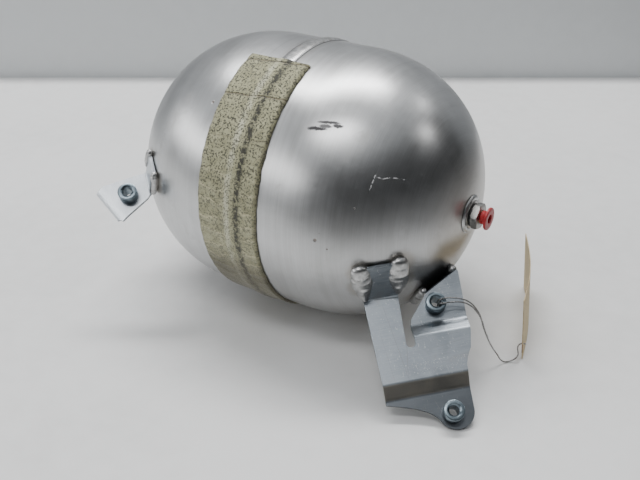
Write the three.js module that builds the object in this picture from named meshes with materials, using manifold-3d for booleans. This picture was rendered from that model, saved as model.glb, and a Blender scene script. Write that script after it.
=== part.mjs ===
// Welded aluminium air reservoir lying on its side, with two welded sheet brackets,
// a felt strip round its middle, a push-in air port and a wired-on paper tag.
// Millimetres, +Z up. X runs along the vessel, with the port at +X; -Y is the bracket side.
import * as THREE from 'three';
import { mergeVertices } from 'three/addons/utils/BufferGeometryUtils.js';
import Module from 'manifold-3d';

const wasm = await Module();
wasm.setup();

// ---------------------------------------------------------------- driving dimensions
const GAP = 0.3;                 // air left between touching pieces
const VESSEL_RADIUS = 100;
const HALF_LENGTH = 132.4;       // centre to pole, outside
const STRAIGHT_HALF = 33.2;      // half length of the cylindrical middle
const DOME_POWER = 2.1;          // 2 would be an ellipse; a little more is a pressed dome
const WALL = 3;
const AROUND = 60;               // facets round the vessel
const DOME_STEPS = 12;

const SHEET = 2.5;               // bracket sheet thickness
const BUSH_RADIUS = 7;
const BUSH_BORE = 3.3;           // clearance for an M6 bolt
const BUSH_HEIGHT = 8.3;
const SHANK_RADIUS = 4.6;

const FLOOR_CLEAR = 0.3;         // cord and tag stay this far above the resting surface
const WIRE_RADIUS = 0.5;

const deg = THREE.MathUtils.degToRad;
const vec = (x, y, z) => new THREE.Vector3(x, y, z);

// ---------------------------------------------------------------- solids and booleans
function solidOf(geometry) {
  const bare = geometry.index ? geometry.toNonIndexed() : geometry.clone();
  bare.deleteAttribute('normal');
  bare.deleteAttribute('uv');
  const merged = mergeVertices(bare, 1e-4);
  const triangles = [];
  const index = merged.index.array;
  for (let i = 0; i < index.length; i += 3) {
    const [a, b, c] = [index[i], index[i + 1], index[i + 2]];
    if (a !== b && b !== c && a !== c) triangles.push(a, b, c);
  }
  const mesh = new wasm.Mesh({
    numProp: 3,
    vertProperties: new Float32Array(merged.attributes.position.array),
    triVerts: new Uint32Array(triangles),
  });
  return new wasm.Manifold(mesh);
}

function geometryOf(solid) {
  const mesh = solid.getMesh();
  const geometry = new THREE.BufferGeometry();
  geometry.setAttribute('position', new THREE.BufferAttribute(mesh.vertProperties, 3));
  geometry.setIndex(new THREE.BufferAttribute(mesh.triVerts, 1));
  geometry.computeVertexNormals();
  return geometry;
}

const joined = (solids) => solids.reduce((sum, next) => sum.add(next));
const cutAway = (solid, tools) => tools.reduce((left, tool) => left.subtract(tool), solid);

// A turned piece: points are [radius, place along X], closed on themselves or on the axis.
function turned(points, segments = 32) {
  const profile = points.map(([radius, along]) => new THREE.Vector2(radius, along));
  const geometry = new THREE.LatheGeometry(profile, segments);
  geometry.rotateZ(-Math.PI / 2);
  return geometry;
}

// A prism: the outline lies in the basis's first two axes and rises from low to high
// along the third.
function prism(outline, basis, low, high, curveSegments = 10) {
  const geometry = new THREE.ExtrudeGeometry(outline, {
    depth: high - low, bevelEnabled: false, curveSegments,
  });
  geometry.translate(0, 0, low);
  geometry.applyMatrix4(basis);
  return basis.determinant() < 0 ? turnedInsideOut(geometry) : geometry;
}

// A left-handed basis turns a solid inside out, so its triangles are wound back.
function turnedInsideOut(geometry) {
  const flipped = geometry.index ? geometry.toNonIndexed() : geometry;
  const place = flipped.attributes.position;
  for (let i = 0; i < place.count; i += 3) {
    const first = vec(0, 0, 0).fromBufferAttribute(place, i);
    const second = vec(0, 0, 0).fromBufferAttribute(place, i + 1);
    place.setXYZ(i, second.x, second.y, second.z);
    place.setXYZ(i + 1, first.x, first.y, first.z);
  }
  return flipped;
}

function polygon(points) {
  return new THREE.Shape(points.map(([x, y]) => new THREE.Vector2(x, y)));
}

function boxShape(x0, y0, x1, y1) {
  return polygon([[x0, y0], [x1, y0], [x1, y1], [x0, y1]]);
}

// Moves every side of a convex outline outwards by the same amount.
function grown(points, amount) {
  const count = points.length;
  return points.map((point, i) => {
    const before = points[(i + count - 1) % count];
    const after = points[(i + 1) % count];
    const a = new THREE.Vector2(point[0] - before[0], point[1] - before[1]).normalize();
    const b = new THREE.Vector2(after[0] - point[0], after[1] - point[1]).normalize();
    const turn = 1 + a.dot(b);
    return [point[0] + amount * (a.y + b.y) / turn, point[1] - amount * (a.x + b.x) / turn];
  });
}

function basisOf(origin, first, second, third) {
  const matrix = new THREE.Matrix4().makeBasis(first, second, third);
  return matrix.setPosition(origin);
}

function along(origin, ...pairs) {
  const point = origin.clone();
  for (const [axis, amount] of pairs) point.addScaledVector(axis, amount);
  return point;
}

// ---------------------------------------------------------------- the vessel's own shape
function domeX(radius, offset = 0) {
  const reach = HALF_LENGTH - STRAIGHT_HALF + offset;
  const share = Math.min(radius / (VESSEL_RADIUS + offset), 1);
  return STRAIGHT_HALF + reach * (1 - share ** DOME_POWER) ** (1 / DOME_POWER);
}

// Points from the girth to a small radius near the pole, at an offset from the outer skin.
function domeProfile(offset, startX, endRadius) {
  const top = VESSEL_RADIUS + offset;
  const points = [[top, startX], [top, STRAIGHT_HALF]];
  const endAngle = Math.acos(Math.min((endRadius / top) ** (DOME_POWER / 2), 1));
  for (let i = 1; i < DOME_STEPS; i++) {
    const angle = endAngle * i / DOME_STEPS;
    const radius = top * Math.cos(angle) ** (2 / DOME_POWER);
    points.push([radius, domeX(radius, offset)]);
  }
  points.push([endRadius, domeX(endRadius, offset)]);
  return points;
}

const mirrored = (points) => points.map(([radius, x]) => [radius, -x]).reverse();

// The point and outward normal of the skin at a place along X and an angle from the top
// towards -Y.
function skinAt(x, angle) {
  const reach = HALF_LENGTH - STRAIGHT_HALF;
  const share = Math.max((Math.abs(x) - STRAIGHT_HALF) / reach, 0);
  const ratio = (1 - share ** DOME_POWER) ** (1 / DOME_POWER);
  const slope = (share / ratio) ** (DOME_POWER - 1) * VESSEL_RADIUS / reach;
  const radius = VESSEL_RADIUS * ratio;
  const point = vec(x, -radius * Math.sin(angle), radius * Math.cos(angle));
  const normal = vec(slope * Math.sign(x), -Math.sin(angle), Math.cos(angle)).normalize();
  return { point, normal };
}

function bisect(value, low, high) {
  const rising = value(high) > value(low);
  for (let i = 0; i < 50; i++) {
    const middle = (low + high) / 2;
    if ((value(middle) > 0) === rising) high = middle;
    else low = middle;
  }
  return (low + high) / 2;
}

// Where a flat flange that folds on a given line lies against the port end's dome, with the
// fold standing a given height off the flange's side of the skin.
function flangeContact(foldPoint, foldDirection, standing, lowAngle, highAngle) {
  const contactAt = (angle) => {
    const x = bisect((place) => skinAt(place, angle).normal.dot(foldDirection), 40, 131.5);
    return skinAt(x, angle);
  };
  const standOff = (angle) => {
    const { point, normal } = contactAt(angle);
    return foldPoint.clone().sub(point).dot(normal) - standing;
  };
  return contactAt(bisect(standOff, lowAngle, highAngle));
}

// ---------------------------------------------------------------- shells, weld and felt
const GROOVE_ROOT = 1.0;         // half widths of the girth weld's groove
const GROOVE_TOP = 4.0;
const BEAD_HEIGHT = 1.5;
const BEAD_HALF = 5.5;
const LIP_DEPTH = 8;             // backing lip of the plain shell under the weld
const BOSS_RADIUS = 10;

function portEndShell() {
  const outer = domeProfile(0, GROOVE_TOP + GAP, BOSS_RADIUS + GAP);
  const inner = domeProfile(-WALL, GROOVE_ROOT + GAP, BOSS_RADIUS + GAP).reverse();
  return turned([...outer, ...inner, outer[0]], AROUND);
}

// The plain shell's inner edge is joggled inwards, to back the weld and centre the other shell.
function plainEndShell() {
  const bore = VESSEL_RADIUS - WALL;
  const lipOuter = bore - 2 * GAP;
  const lipInner = lipOuter - 2.2;
  const edge = [
    [bore, -GROOVE_ROOT - GAP], [lipOuter, -GROOVE_ROOT - GAP], [lipOuter, LIP_DEPTH],
    [lipInner, LIP_DEPTH], [lipInner, -LIP_DEPTH], [bore, -LIP_DEPTH - 3],
  ];
  const outer = mirrored(domeProfile(0, GROOVE_TOP + GAP, 0));
  const inner = mirrored(domeProfile(-WALL, LIP_DEPTH + 4, 0)).reverse();
  return turned([...outer, ...edge, ...inner], AROUND);
}

function girthWeld() {
  const root = VESSEL_RADIUS - WALL + GAP / 2;
  const skin = VESSEL_RADIUS + GAP;
  const crown = VESSEL_RADIUS + BEAD_HEIGHT;
  return turned([
    [root, -GROOVE_ROOT], [VESSEL_RADIUS, -GROOVE_TOP], [skin, -BEAD_HALF],
    [crown - 0.5, -3.4], [crown, -1.2], [crown, 1.2], [crown - 0.5, 3.4],
    [skin, BEAD_HALF], [VESSEL_RADIUS, GROOVE_TOP], [root, GROOVE_ROOT], [root, -GROOVE_ROOT],
  ], AROUND);
}

const FELT_START = deg(19);      // angles from the top, towards the bracket side
const FELT_END = deg(200);
const FELT_LEFT = -30.2;
const FELT_RIGHT = 20;
const FELT_OUTER = VESSEL_RADIUS + 3.2;

function feltStrip() {
  const flat = VESSEL_RADIUS + GAP;
  const overBead = VESSEL_RADIUS + BEAD_HEIGHT + GAP;
  const ring = solidOf(turned([
    [flat, FELT_LEFT], [FELT_OUTER, FELT_LEFT], [FELT_OUTER, FELT_RIGHT], [flat, FELT_RIGHT],
    [flat, BEAD_HALF + 1], [overBead, BEAD_HALF - 1], [overBead, 1 - BEAD_HALF],
    [flat, -1 - BEAD_HALF], [flat, FELT_LEFT],
  ], AROUND));
  const sector = new THREE.Shape();
  const reach = VESSEL_RADIUS * 1.5;
  sector.moveTo(0, 0);
  const steps = 8;
  for (let i = 0; i <= steps; i++) {
    const angle = FELT_START + (FELT_END - FELT_START) * i / steps;
    sector.lineTo(-reach * Math.sin(angle), reach * Math.cos(angle));
  }
  const acrossX = basisOf(vec(0, 0, 0), vec(0, 1, 0), vec(0, 0, 1), vec(1, 0, 0));
  const wedge = solidOf(prism(sector, acrossX, FELT_LEFT - 5, FELT_RIGHT + 5));
  return geometryOf(ring.intersect(wedge));
}

// ---------------------------------------------------------------- air port and its plug
const BOSS_FACE = 133.6;
const BOSS_BORE = 6.2;
const HEX_START = 135.2;
const HEX_END = 140;
const HEX_FLATS = 17;
const MOUTH_RADIUS = 4.7;        // the fitting's wide bore, which holds seal and collet
const LINE_RADIUS = 3.2;         // passage for a 6 mm air line
const PIN_RADIUS = 2.9;
const NECK_RADIUS = 4.85;
const PLUG_RADIUS = 8.1;

function portBoss() {
  const back = domeX(BOSS_RADIUS, -WALL) - 7;
  return turned([
    [BOSS_BORE, back], [BOSS_RADIUS - 1, back], [BOSS_RADIUS, back + 1],
    [BOSS_RADIUS, BOSS_FACE - 0.5], [BOSS_RADIUS - 0.5, BOSS_FACE], [BOSS_BORE, BOSS_FACE],
    [BOSS_BORE, back],
  ]);
}

function portBossWeld() {
  const inner = BOSS_RADIUS + GAP;
  const outer = inner + 3.7;
  return turned([
    [inner, domeX(inner) + GAP], [outer, domeX(outer) + GAP + 0.1],
    [outer - 1.2, domeX(outer) + 1.2], [inner, BOSS_FACE - 0.2], [inner, domeX(inner) + GAP],
  ]);
}

function hexFitting() {
  const hex = new THREE.Shape();
  const corner = HEX_FLATS / 2 / Math.cos(Math.PI / 6);
  for (let i = 0; i < 6; i++) {
    const angle = Math.PI / 3 * i + deg(12);
    const move = i === 0 ? 'moveTo' : 'lineTo';
    hex[move](corner * Math.cos(angle), corner * Math.sin(angle));
  }
  const acrossX = basisOf(vec(0, 0, 0), vec(0, 1, 0), vec(0, 0, 1), vec(1, 0, 0));
  const head = solidOf(prism(hex, acrossX, HEX_START, HEX_END));
  const chamfer = solidOf(turned([
    [0, HEX_START], [corner - 0.9, HEX_START], [corner + 0.1, HEX_START + 0.9],
    [corner + 0.1, HEX_END - 0.9], [corner - 0.9, HEX_END], [0, HEX_END],
  ], 36));
  const shank = solidOf(turned([
    [0, 124], [5.2, 124], [BOSS_BORE - GAP, 125], [BOSS_BORE - GAP, HEX_START + 1],
    [0, HEX_START + 1],
  ]));
  const bore = solidOf(turned([
    [0, 120], [2.3, 120], [2.3, 126], [LINE_RADIUS + 0.1, 126], [LINE_RADIUS + 0.1, 131],
    [MOUTH_RADIUS, 131], [MOUTH_RADIUS, 145], [0, 145],
  ]));
  return geometryOf(head.intersect(chamfer).add(shank).subtract(bore));
}

const ringOf = (inner, outer, start, end, segments = 28) => turned([
  [inner, start], [outer, start], [outer, end], [inner, end], [inner, start],
], segments);

function releaseCollet() {
  const outer = MOUTH_RADIUS - GAP;
  return turned([
    [LINE_RADIUS, 134.2], [outer - 0.6, 134.2], [outer, 134.8], [outer, 139.6],
    [LINE_RADIUS + 0.5, 139.6], [LINE_RADIUS, 139.1], [LINE_RADIUS, 134.2],
  ], 28);
}

function transportPlug() {
  const neck = HEX_END + GAP;
  const shoulder = neck + 4.3;
  const face = shoulder + 1.8;
  return turned([
    [0, 127.2], [PIN_RADIUS - 0.8, 127.2], [PIN_RADIUS, 128.2], [PIN_RADIUS, neck],
    [NECK_RADIUS, neck], [NECK_RADIUS, shoulder], [PLUG_RADIUS - 0.3, shoulder],
    [PLUG_RADIUS, shoulder + 0.4], [PLUG_RADIUS, face - 0.4], [PLUG_RADIUS - 0.4, face],
    [3.6, face], [3.2, face - 0.4], [3.2, neck + 0.8], [0, neck + 0.8],
  ], 32);
}

// ---------------------------------------------------------------- bracket directions
// Both brackets bolt to one flat surface, so every bush points the same way.
const FACE_AZIMUTH = deg(-55.5);
const FACE_ELEVATION = deg(53.4);
const FOLD_TURN = deg(9.9);      // how far the long bracket's fold is turned from level

const faceNormal = vec(
  Math.cos(FACE_ELEVATION) * Math.cos(FACE_AZIMUTH),
  Math.cos(FACE_ELEVATION) * Math.sin(FACE_AZIMUTH),
  Math.sin(FACE_ELEVATION),
);
const level = vec(-Math.sin(FACE_AZIMUTH), Math.cos(FACE_AZIMUTH), 0);
const uphill = faceNormal.clone().cross(level);
const foldAxis = along(vec(0, 0, 0), [level, Math.cos(FOLD_TURN)], [uphill, Math.sin(FOLD_TURN)]);
const armAxis = foldAxis.clone().cross(faceNormal);

// ---------------------------------------------------------------- long bracket
const ARM_CORNER = vec(92.9, -75.1, -45.8);   // top left corner of the arm, on its fold
const RISE = 4.5;                // the main plate stands this far above tab and foot
const MITRE = 1.75;              // both sides of a fold run on this far to meet
const LONG_UPPER = [46.3, 10];   // bush centres, in the plate's own two directions
const LONG_LOWER = [39.6, 84.3];
const TAB_FOLD = [[44.2, -1.7], [67.8, -14.1]];
const ARM_FLANGE_LENGTH = 32;
const TAB_FLANGE_LENGTH = 35;

const longBasis = basisOf(ARM_CORNER, foldAxis, armAxis, faceNormal.clone().negate());
const onLong = (u, v, height) => along(ARM_CORNER, [foldAxis, u], [armAxis, v],
  [faceNormal, height]);

function longOutline() {
  const shape = new THREE.Shape();
  shape.moveTo(-1.9, -MITRE);
  shape.lineTo(-1.9, 71.5);
  shape.lineTo(11, 75.3);
  shape.quadraticCurveTo(26.5, 80, 30.9, 87.4);
  shape.absarc(42.3, 83.2, 12.2, deg(160), deg(0), true);
  shape.lineTo(56.3, 56);
  shape.quadraticCurveTo(58, 50, 62, 44.6);
  shape.lineTo(65.1, 32.8);
  shape.lineTo(68.7, -11.9);
  shape.lineTo(TAB_FOLD[1][0], TAB_FOLD[1][1]);
  shape.lineTo(TAB_FOLD[0][0], TAB_FOLD[0][1]);
  shape.lineTo(27.9, 17);
  shape.lineTo(26.5, 21.6);
  shape.lineTo(26.3, 34);
  shape.absarc(23, 34, 3.3, deg(0), deg(180), false);
  shape.lineTo(22.2, -MITRE);
  return shape;
}

// A cylinder through the sheet, to let a bush's shank pass.
function shankHole(basis, [first, second]) {
  const drill = new THREE.CylinderGeometry(SHANK_RADIUS + GAP, SHANK_RADIUS + GAP, 30, 24);
  drill.rotateX(Math.PI / 2);
  drill.translate(first, second, 0);
  drill.applyMatrix4(basis);
  return solidOf(basis.determinant() < 0 ? turnedInsideOut(drill) : drill);
}

// The sheet's side view: a line of [distance down the arm, drop], given one thickness.
function sideSheet(line, from, to) {
  const low = line.map(([v, drop]) => [v, drop + SHEET]).reverse();
  const alongFold = basisOf(ARM_CORNER, armAxis, faceNormal.clone().negate(), foldAxis);
  return solidOf(prism(polygon([...line, ...low]), alongFold, from, to));
}

function flangeBasis(contact, foldPoint, foldDirection) {
  const rising = contact.normal.clone().cross(foldDirection);
  if (rising.dot(contact.point.clone().sub(foldPoint)) < 0) rising.negate();
  return basisOf(foldPoint, foldDirection, rising, contact.normal.clone().negate());
}

const armContact = flangeContact(ARM_CORNER, foldAxis, SHEET + GAP, deg(100), deg(125));
const armFlangeBasis = flangeBasis(armContact, ARM_CORNER, foldAxis);
const armFlangeOutline = [
  [0.6, -MITRE], [22.2, -MITRE], [22.2, ARM_FLANGE_LENGTH], [0.6, ARM_FLANGE_LENGTH],
];

const tabFoldStart = onLong(TAB_FOLD[0][0], TAB_FOLD[0][1], -RISE);
const tabFoldEnd = onLong(TAB_FOLD[1][0], TAB_FOLD[1][1], -RISE);
const tabFoldAxis = tabFoldEnd.clone().sub(tabFoldStart).normalize();
const tabFoldLength = tabFoldEnd.distanceTo(tabFoldStart);
const tabContact = flangeContact(tabFoldStart, tabFoldAxis, GAP, deg(145), deg(175));
const tabFlangeBasis = flangeBasis(tabContact, tabFoldStart, tabFoldAxis);
const tabFlangeOutline = [
  [0.5, 0], [tabFoldLength - 0.5, 0],
  [tabFoldLength - 0.5, TAB_FLANGE_LENGTH], [0.5, TAB_FLANGE_LENGTH],
];

function longBracket() {
  const outline = solidOf(prism(longOutline(), longBasis, -5, 25));
  const armLine = [[-10, 0], [60, 0], [69, RISE], [110, RISE]];
  const tabLine = [[-30, RISE], [21.5, RISE], [30.5, 0], [60, 0], [69, RISE], [110, RISE]];
  const sheet = sideSheet(armLine, -5, 24.5).add(sideSheet(tabLine, 24, 80));
  const armFlange = solidOf(prism(polygon(armFlangeOutline), armFlangeBasis, 0, SHEET));
  const tabFlange = solidOf(prism(polygon(tabFlangeOutline), tabFlangeBasis, -SHEET, 0));
  const whole = sheet.intersect(outline).add(armFlange).add(tabFlange);
  return geometryOf(cutAway(whole, [
    shankHole(longBasis, LONG_UPPER), shankHole(longBasis, LONG_LOWER),
  ]));
}

// ---------------------------------------------------------------- short bracket
const SHORT_CONTACT = skinAt(-88, deg(82));
const SHORT_BUSH = [15.8, -7.1]; // out from the fold, then along it
const SHORT_LIP = [[38.5, 2.5], [27, -23.5]];
const LIP_DROP = 6.5;

const shortFold = SHORT_CONTACT.normal.clone().cross(faceNormal).normalize();
if (shortFold.z < 0) shortFold.negate();
const shortOut = faceNormal.clone().cross(shortFold);
if (shortOut.x > 0) shortOut.negate();
const shortRise = SHORT_CONTACT.normal.clone().cross(shortFold);
if (shortRise.z < 0) shortRise.negate();
const shortCorner = along(SHORT_CONTACT.point, [SHORT_CONTACT.normal, SHEET + GAP],
  [shortRise, -8.3], [shortFold, -6.8]);

const shortBasis = basisOf(shortCorner, shortOut, shortFold, faceNormal.clone().negate());
const shortFlangeBasis = basisOf(shortCorner, shortFold, shortRise,
  SHORT_CONTACT.normal.clone().negate());
const onShort = (s, q, height) => along(shortCorner, [shortOut, s], [shortFold, q],
  [faceNormal, height]);
const shortFlangeOutline = [[-9, -MITRE], [9, -MITRE], [15.5, 17], [-1.5, 17]];

function shortBracket() {
  const plate = polygon([
    [-MITRE, 8.9], [33, 6], [38.5, 2.5], [27, -23.5], [24, -25.3], [2.7, -12.4], [-MITRE, -9],
  ]);
  const [top, bottom] = SHORT_LIP;
  const lip = polygon([top, [top[0] + 2.4, top[1] - 1], [bottom[0] + 2.4, bottom[1] - 1], bottom]);
  const whole = joined([
    solidOf(prism(plate, shortBasis, 0, SHEET)),
    solidOf(prism(lip, shortBasis, 0.4, LIP_DROP)),
    solidOf(prism(polygon(shortFlangeOutline), shortFlangeBasis, 0, SHEET)),
  ]);
  return geometryOf(whole.subtract(shankHole(shortBasis, SHORT_BUSH)));
}

// ---------------------------------------------------------------- bushes
// A shouldered steel bush: its thin shank goes through the sheet and is spread below it.
function bush() {
  const below = -SHEET - GAP;
  return turned([
    [BUSH_BORE, below - 0.9], [SHANK_RADIUS + 0.7, below - 0.9], [SHANK_RADIUS + 1, below],
    [SHANK_RADIUS, below], [SHANK_RADIUS, GAP], [BUSH_RADIUS, GAP],
    [BUSH_RADIUS, BUSH_HEIGHT - 0.5], [BUSH_RADIUS - 0.5, BUSH_HEIGHT],
    [BUSH_BORE + 0.7, BUSH_HEIGHT], [BUSH_BORE, BUSH_HEIGHT - 0.7], [BUSH_BORE, below - 0.9],
  ], 28);
}

// ---------------------------------------------------------------- hand-laid fillet welds
function keepClear(outline, basis, low, high) {
  return solidOf(prism(polygon(grown(outline, GAP)), basis, low - GAP, high + GAP));
}

const skinKeepClear = solidOf(turned([
  [0, -30], [VESSEL_RADIUS + GAP, -30], ...domeProfile(GAP, 0, 0),
], AROUND));
const plainSkinKeepClear = skinKeepClear.mirror([1, 0, 0]);

const longPlateOutline = [[-1.9, -MITRE], [70, -MITRE - 16], [70, 60], [-1.9, 60]];
const longKeepClear = [
  solidOf(prism(boxShape(-8, -MITRE - GAP, 24, 30), longBasis, -GAP, SHEET + GAP)),
  solidOf(prism(polygon(longPlateOutline), longBasis, RISE - GAP, RISE + SHEET + GAP)),
  keepClear(armFlangeOutline, armFlangeBasis, 0, SHEET),
  keepClear(tabFlangeOutline, tabFlangeBasis, -SHEET, 0),
];
const shortKeepClear = [
  solidOf(prism(boxShape(-MITRE - GAP, -16, 30, 20), shortBasis, -GAP, SHEET + GAP)),
  keepClear(shortFlangeOutline, shortFlangeBasis, 0, SHEET),
];

// Overlapping lumps along the side of a flange, cut to lie on the skin and round the sheet.
// The basis's first two axes lie in the flange; the third points down to the vessel.
function filletWeld(basis, lumps, skin, sheets) {
  const drops = lumps.map(([first, second, width, height]) => {
    const drop = new THREE.SphereGeometry(1, 10, 7);
    drop.scale(width, width * 1.05, height);
    drop.translate(first, second, SHEET * 0.6);
    drop.applyMatrix4(basis);
    return solidOf(basis.determinant() < 0 ? turnedInsideOut(drop.toNonIndexed()) : drop);
  });
  const cut = cutAway(joined(drops), [skin, ...sheets]);
  const pieces = cut.decompose().sort((a, b) => b.volume() - a.volume());
  return geometryOf(pieces[0]);
}

// Lumps in a row from one end to the other, a little uneven as laid by hand.
function beadRow(start, end, count, width, height) {
  return Array.from({ length: count }, (_, i) => {
    const share = i / (count - 1);
    const uneven = 1 + 0.09 * Math.sin(2.4 * i + start[0]);
    return [
      start[0] + (end[0] - start[0]) * share + 0.5 * Math.sin(1.9 * i),
      start[1] + (end[1] - start[1]) * share,
      width * uneven, height * (2 - uneven),
    ];
  });
}

// ---------------------------------------------------------------- tag and its wire
const CARD_LENGTH = 100;
const CARD_HEIGHT = 50;
const CARD_THICK = 0.6;
const CARD_BOW = 4;
const CARD_LEAN = deg(5);
const CARD_NEAR = vec(184.2, -3.7, 0);      // its lower corner by the wire
const CARD_AWAY = vec(-0.347, 0.938, 0);    // level direction of its long edge
const TAG_HOLE = [6, 9.5];                  // along the card, then up it
const TAG_HOLE_RADIUS = 2;

function cardBasis(floorZ) {
  const up = vec(-Math.sin(CARD_LEAN) * CARD_AWAY.y, Math.sin(CARD_LEAN) * CARD_AWAY.x,
    Math.cos(CARD_LEAN));
  const side = up.clone().cross(CARD_AWAY);
  const near = CARD_NEAR.clone().setZ(floorZ + FLOOR_CLEAR);
  return basisOf(near, CARD_AWAY, side, up);
}

// Seen from above the card is a shallow arc; the bow grows away from the wired end.
const bowAt = (distance) => CARD_BOW * Math.sin(Math.PI * distance / CARD_LENGTH);

function cardSolid(basis, from, to, side, thick, low, high) {
  const steps = 12;
  const edge = Array.from({ length: steps + 1 }, (_, i) => from + (to - from) * i / steps);
  const near = edge.map((distance) => [distance, side - bowAt(distance)]);
  const far = edge.map((distance) => [distance, side + thick - bowAt(distance)]).reverse();
  return solidOf(prism(polygon([...near, ...far]), basis, low, high));
}

function tagHole(basis, radius) {
  const [away, up] = TAG_HOLE;
  const through = new THREE.CylinderGeometry(radius, radius, 20, 20);
  through.translate(away, 0, up);
  through.applyMatrix4(basis);
  return solidOf(through);
}

function tagCard(basis) {
  const card = cardSolid(basis, 0, CARD_LENGTH, 0, CARD_THICK, 0, CARD_HEIGHT);
  return geometryOf(card.subtract(tagHole(basis, TAG_HOLE_RADIUS)));
}

function tagPatch(basis) {
  const [away, up] = TAG_HOLE;
  const disc = tagHole(basis, 7).subtract(tagHole(basis, TAG_HOLE_RADIUS));
  const sheet = cardSolid(basis, 0.5, away + 9, CARD_THICK + GAP, 0.5, up - 9, up + 9);
  return geometryOf(sheet.intersect(disc));
}

function wire(points) {
  const path = new THREE.CatmullRomCurve3(points, false, 'centripetal');
  const section = new THREE.Shape();
  section.absarc(0, 0, WIRE_RADIUS, 0, 2 * Math.PI);
  const steps = Math.min(Math.round(path.getLength() / (5 * WIRE_RADIUS)), 80);
  return new THREE.ExtrudeGeometry(section, { steps, extrudePath: path, curveSegments: 4 });
}

// ---------------------------------------------------------------- the assembled object
const ALUMINIUM = { color: 0xb4b5b4, roughness: 0.34, metalness: 1 };
const SHEET_METAL = { color: 0xb3b9be, roughness: 0.42, metalness: 1 };
const WELD_METAL = { color: 0xa8a9a8, roughness: 0.5, metalness: 1 };
const ZINC = { color: 0x8fa4b0, roughness: 0.4, metalness: 1 };
const STEEL = { color: 0x9c9a94, roughness: 0.35, metalness: 1 };
const BRASS = { color: 0xb89a56, roughness: 0.35, metalness: 1 };
const BLACK_RUBBER = { color: 0x1c1c1c, roughness: 0.8, metalness: 0 };
const RED_PLASTIC = { color: 0xc01c24, roughness: 0.45, metalness: 0 };
const FELT = { color: 0x8f8862, roughness: 0.95, metalness: 0 };
const MANILA = { color: 0xcbbd9a, roughness: 0.85, metalness: 0 };
const FIBRE = { color: 0x6d4234, roughness: 0.8, metalness: 0 };

const vessel = new THREE.Group();
const looseTag = new THREE.Group();

function put(parent, name, geometry, look) {
  const mesh = new THREE.Mesh(geometry, new THREE.MeshStandardMaterial(look));
  mesh.name = name;
  parent.add(mesh);
  return mesh;
}

function putBush(name, centre) {
  const piece = put(vessel, name, bush(), ZINC);
  piece.position.copy(centre);
  piece.quaternion.setFromUnitVectors(vec(1, 0, 0), faceNormal);
}

put(vessel, 'port_end_shell', portEndShell(), ALUMINIUM);
put(vessel, 'plain_end_shell', plainEndShell(), ALUMINIUM);
put(vessel, 'girth_weld', girthWeld(), WELD_METAL);
put(vessel, 'felt_strip', feltStrip(), FELT);

put(vessel, 'port_boss', portBoss(), ALUMINIUM);
put(vessel, 'port_boss_weld', portBossWeld(), WELD_METAL);
put(vessel, 'fitting_gasket', ringOf(BOSS_BORE + 0.1, 8.4, BOSS_FACE + GAP, HEX_START - GAP),
  BLACK_RUBBER);
put(vessel, 'hex_fitting', hexFitting(), STEEL);
put(vessel, 'line_seal', ringOf(LINE_RADIUS, MOUTH_RADIUS - GAP, 131.3, 133.1), BLACK_RUBBER);
put(vessel, 'release_collet', releaseCollet(), BRASS);
put(vessel, 'transport_plug', transportPlug(), RED_PLASTIC);

put(vessel, 'long_bracket', longBracket(), SHEET_METAL);
putBush('long_bracket_upper_bush', onLong(LONG_UPPER[0], LONG_UPPER[1], -RISE));
putBush('long_bracket_lower_bush', onLong(LONG_LOWER[0], LONG_LOWER[1], -RISE));
const armLeft = beadRow([-1.5, 4], [-2.5, 30], 5, 5.6, 5.4);
const armRight = beadRow([24, 6], [25.5, 31], 5, 6.2, 5.6);
const tabInner = beadRow([-0.5, 9], [-1, 33], 4, 4.6, 5);
const tabOuter = beadRow([tabFoldLength + 0.5, 9], [tabFoldLength + 1, 33], 4, 4.6, 5);
put(vessel, 'arm_weld_left',
  filletWeld(armFlangeBasis, armLeft, skinKeepClear, longKeepClear), WELD_METAL);
put(vessel, 'arm_weld_right',
  filletWeld(armFlangeBasis, armRight, skinKeepClear, longKeepClear), WELD_METAL);
put(vessel, 'tab_weld_inner',
  filletWeld(tabFlangeBasis, tabInner, skinKeepClear, longKeepClear), WELD_METAL);
put(vessel, 'tab_weld_outer',
  filletWeld(tabFlangeBasis, tabOuter, skinKeepClear, longKeepClear), WELD_METAL);

put(vessel, 'short_bracket', shortBracket(), SHEET_METAL);
putBush('short_bracket_bush', onShort(SHORT_BUSH[0], SHORT_BUSH[1], 0));
const shortLow = beadRow([-10, 2.5], [-3, 17], 4, 4.4, 4.6);
const shortHigh = beadRow([12, 5], [15.5, 17.5], 3, 4.2, 4.4);
put(vessel, 'short_weld_lower',
  filletWeld(shortFlangeBasis, shortLow, plainSkinKeepClear, shortKeepClear), WELD_METAL);
put(vessel, 'short_weld_upper',
  filletWeld(shortFlangeBasis, shortHigh, plainSkinKeepClear, shortKeepClear), WELD_METAL);

// The row's origin is under the middle of everything but the tag and its wire.
vessel.updateMatrixWorld(true);
const extent = new THREE.Box3().setFromObject(vessel, true);
const floorZ = extent.min.z;
const centre = extent.getCenter(vec(0, 0, 0));

const card = cardBasis(floorZ);
put(looseTag, 'tag_card', tagCard(card), MANILA);
put(looseTag, 'tag_patch', tagPatch(card), FIBRE);

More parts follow.
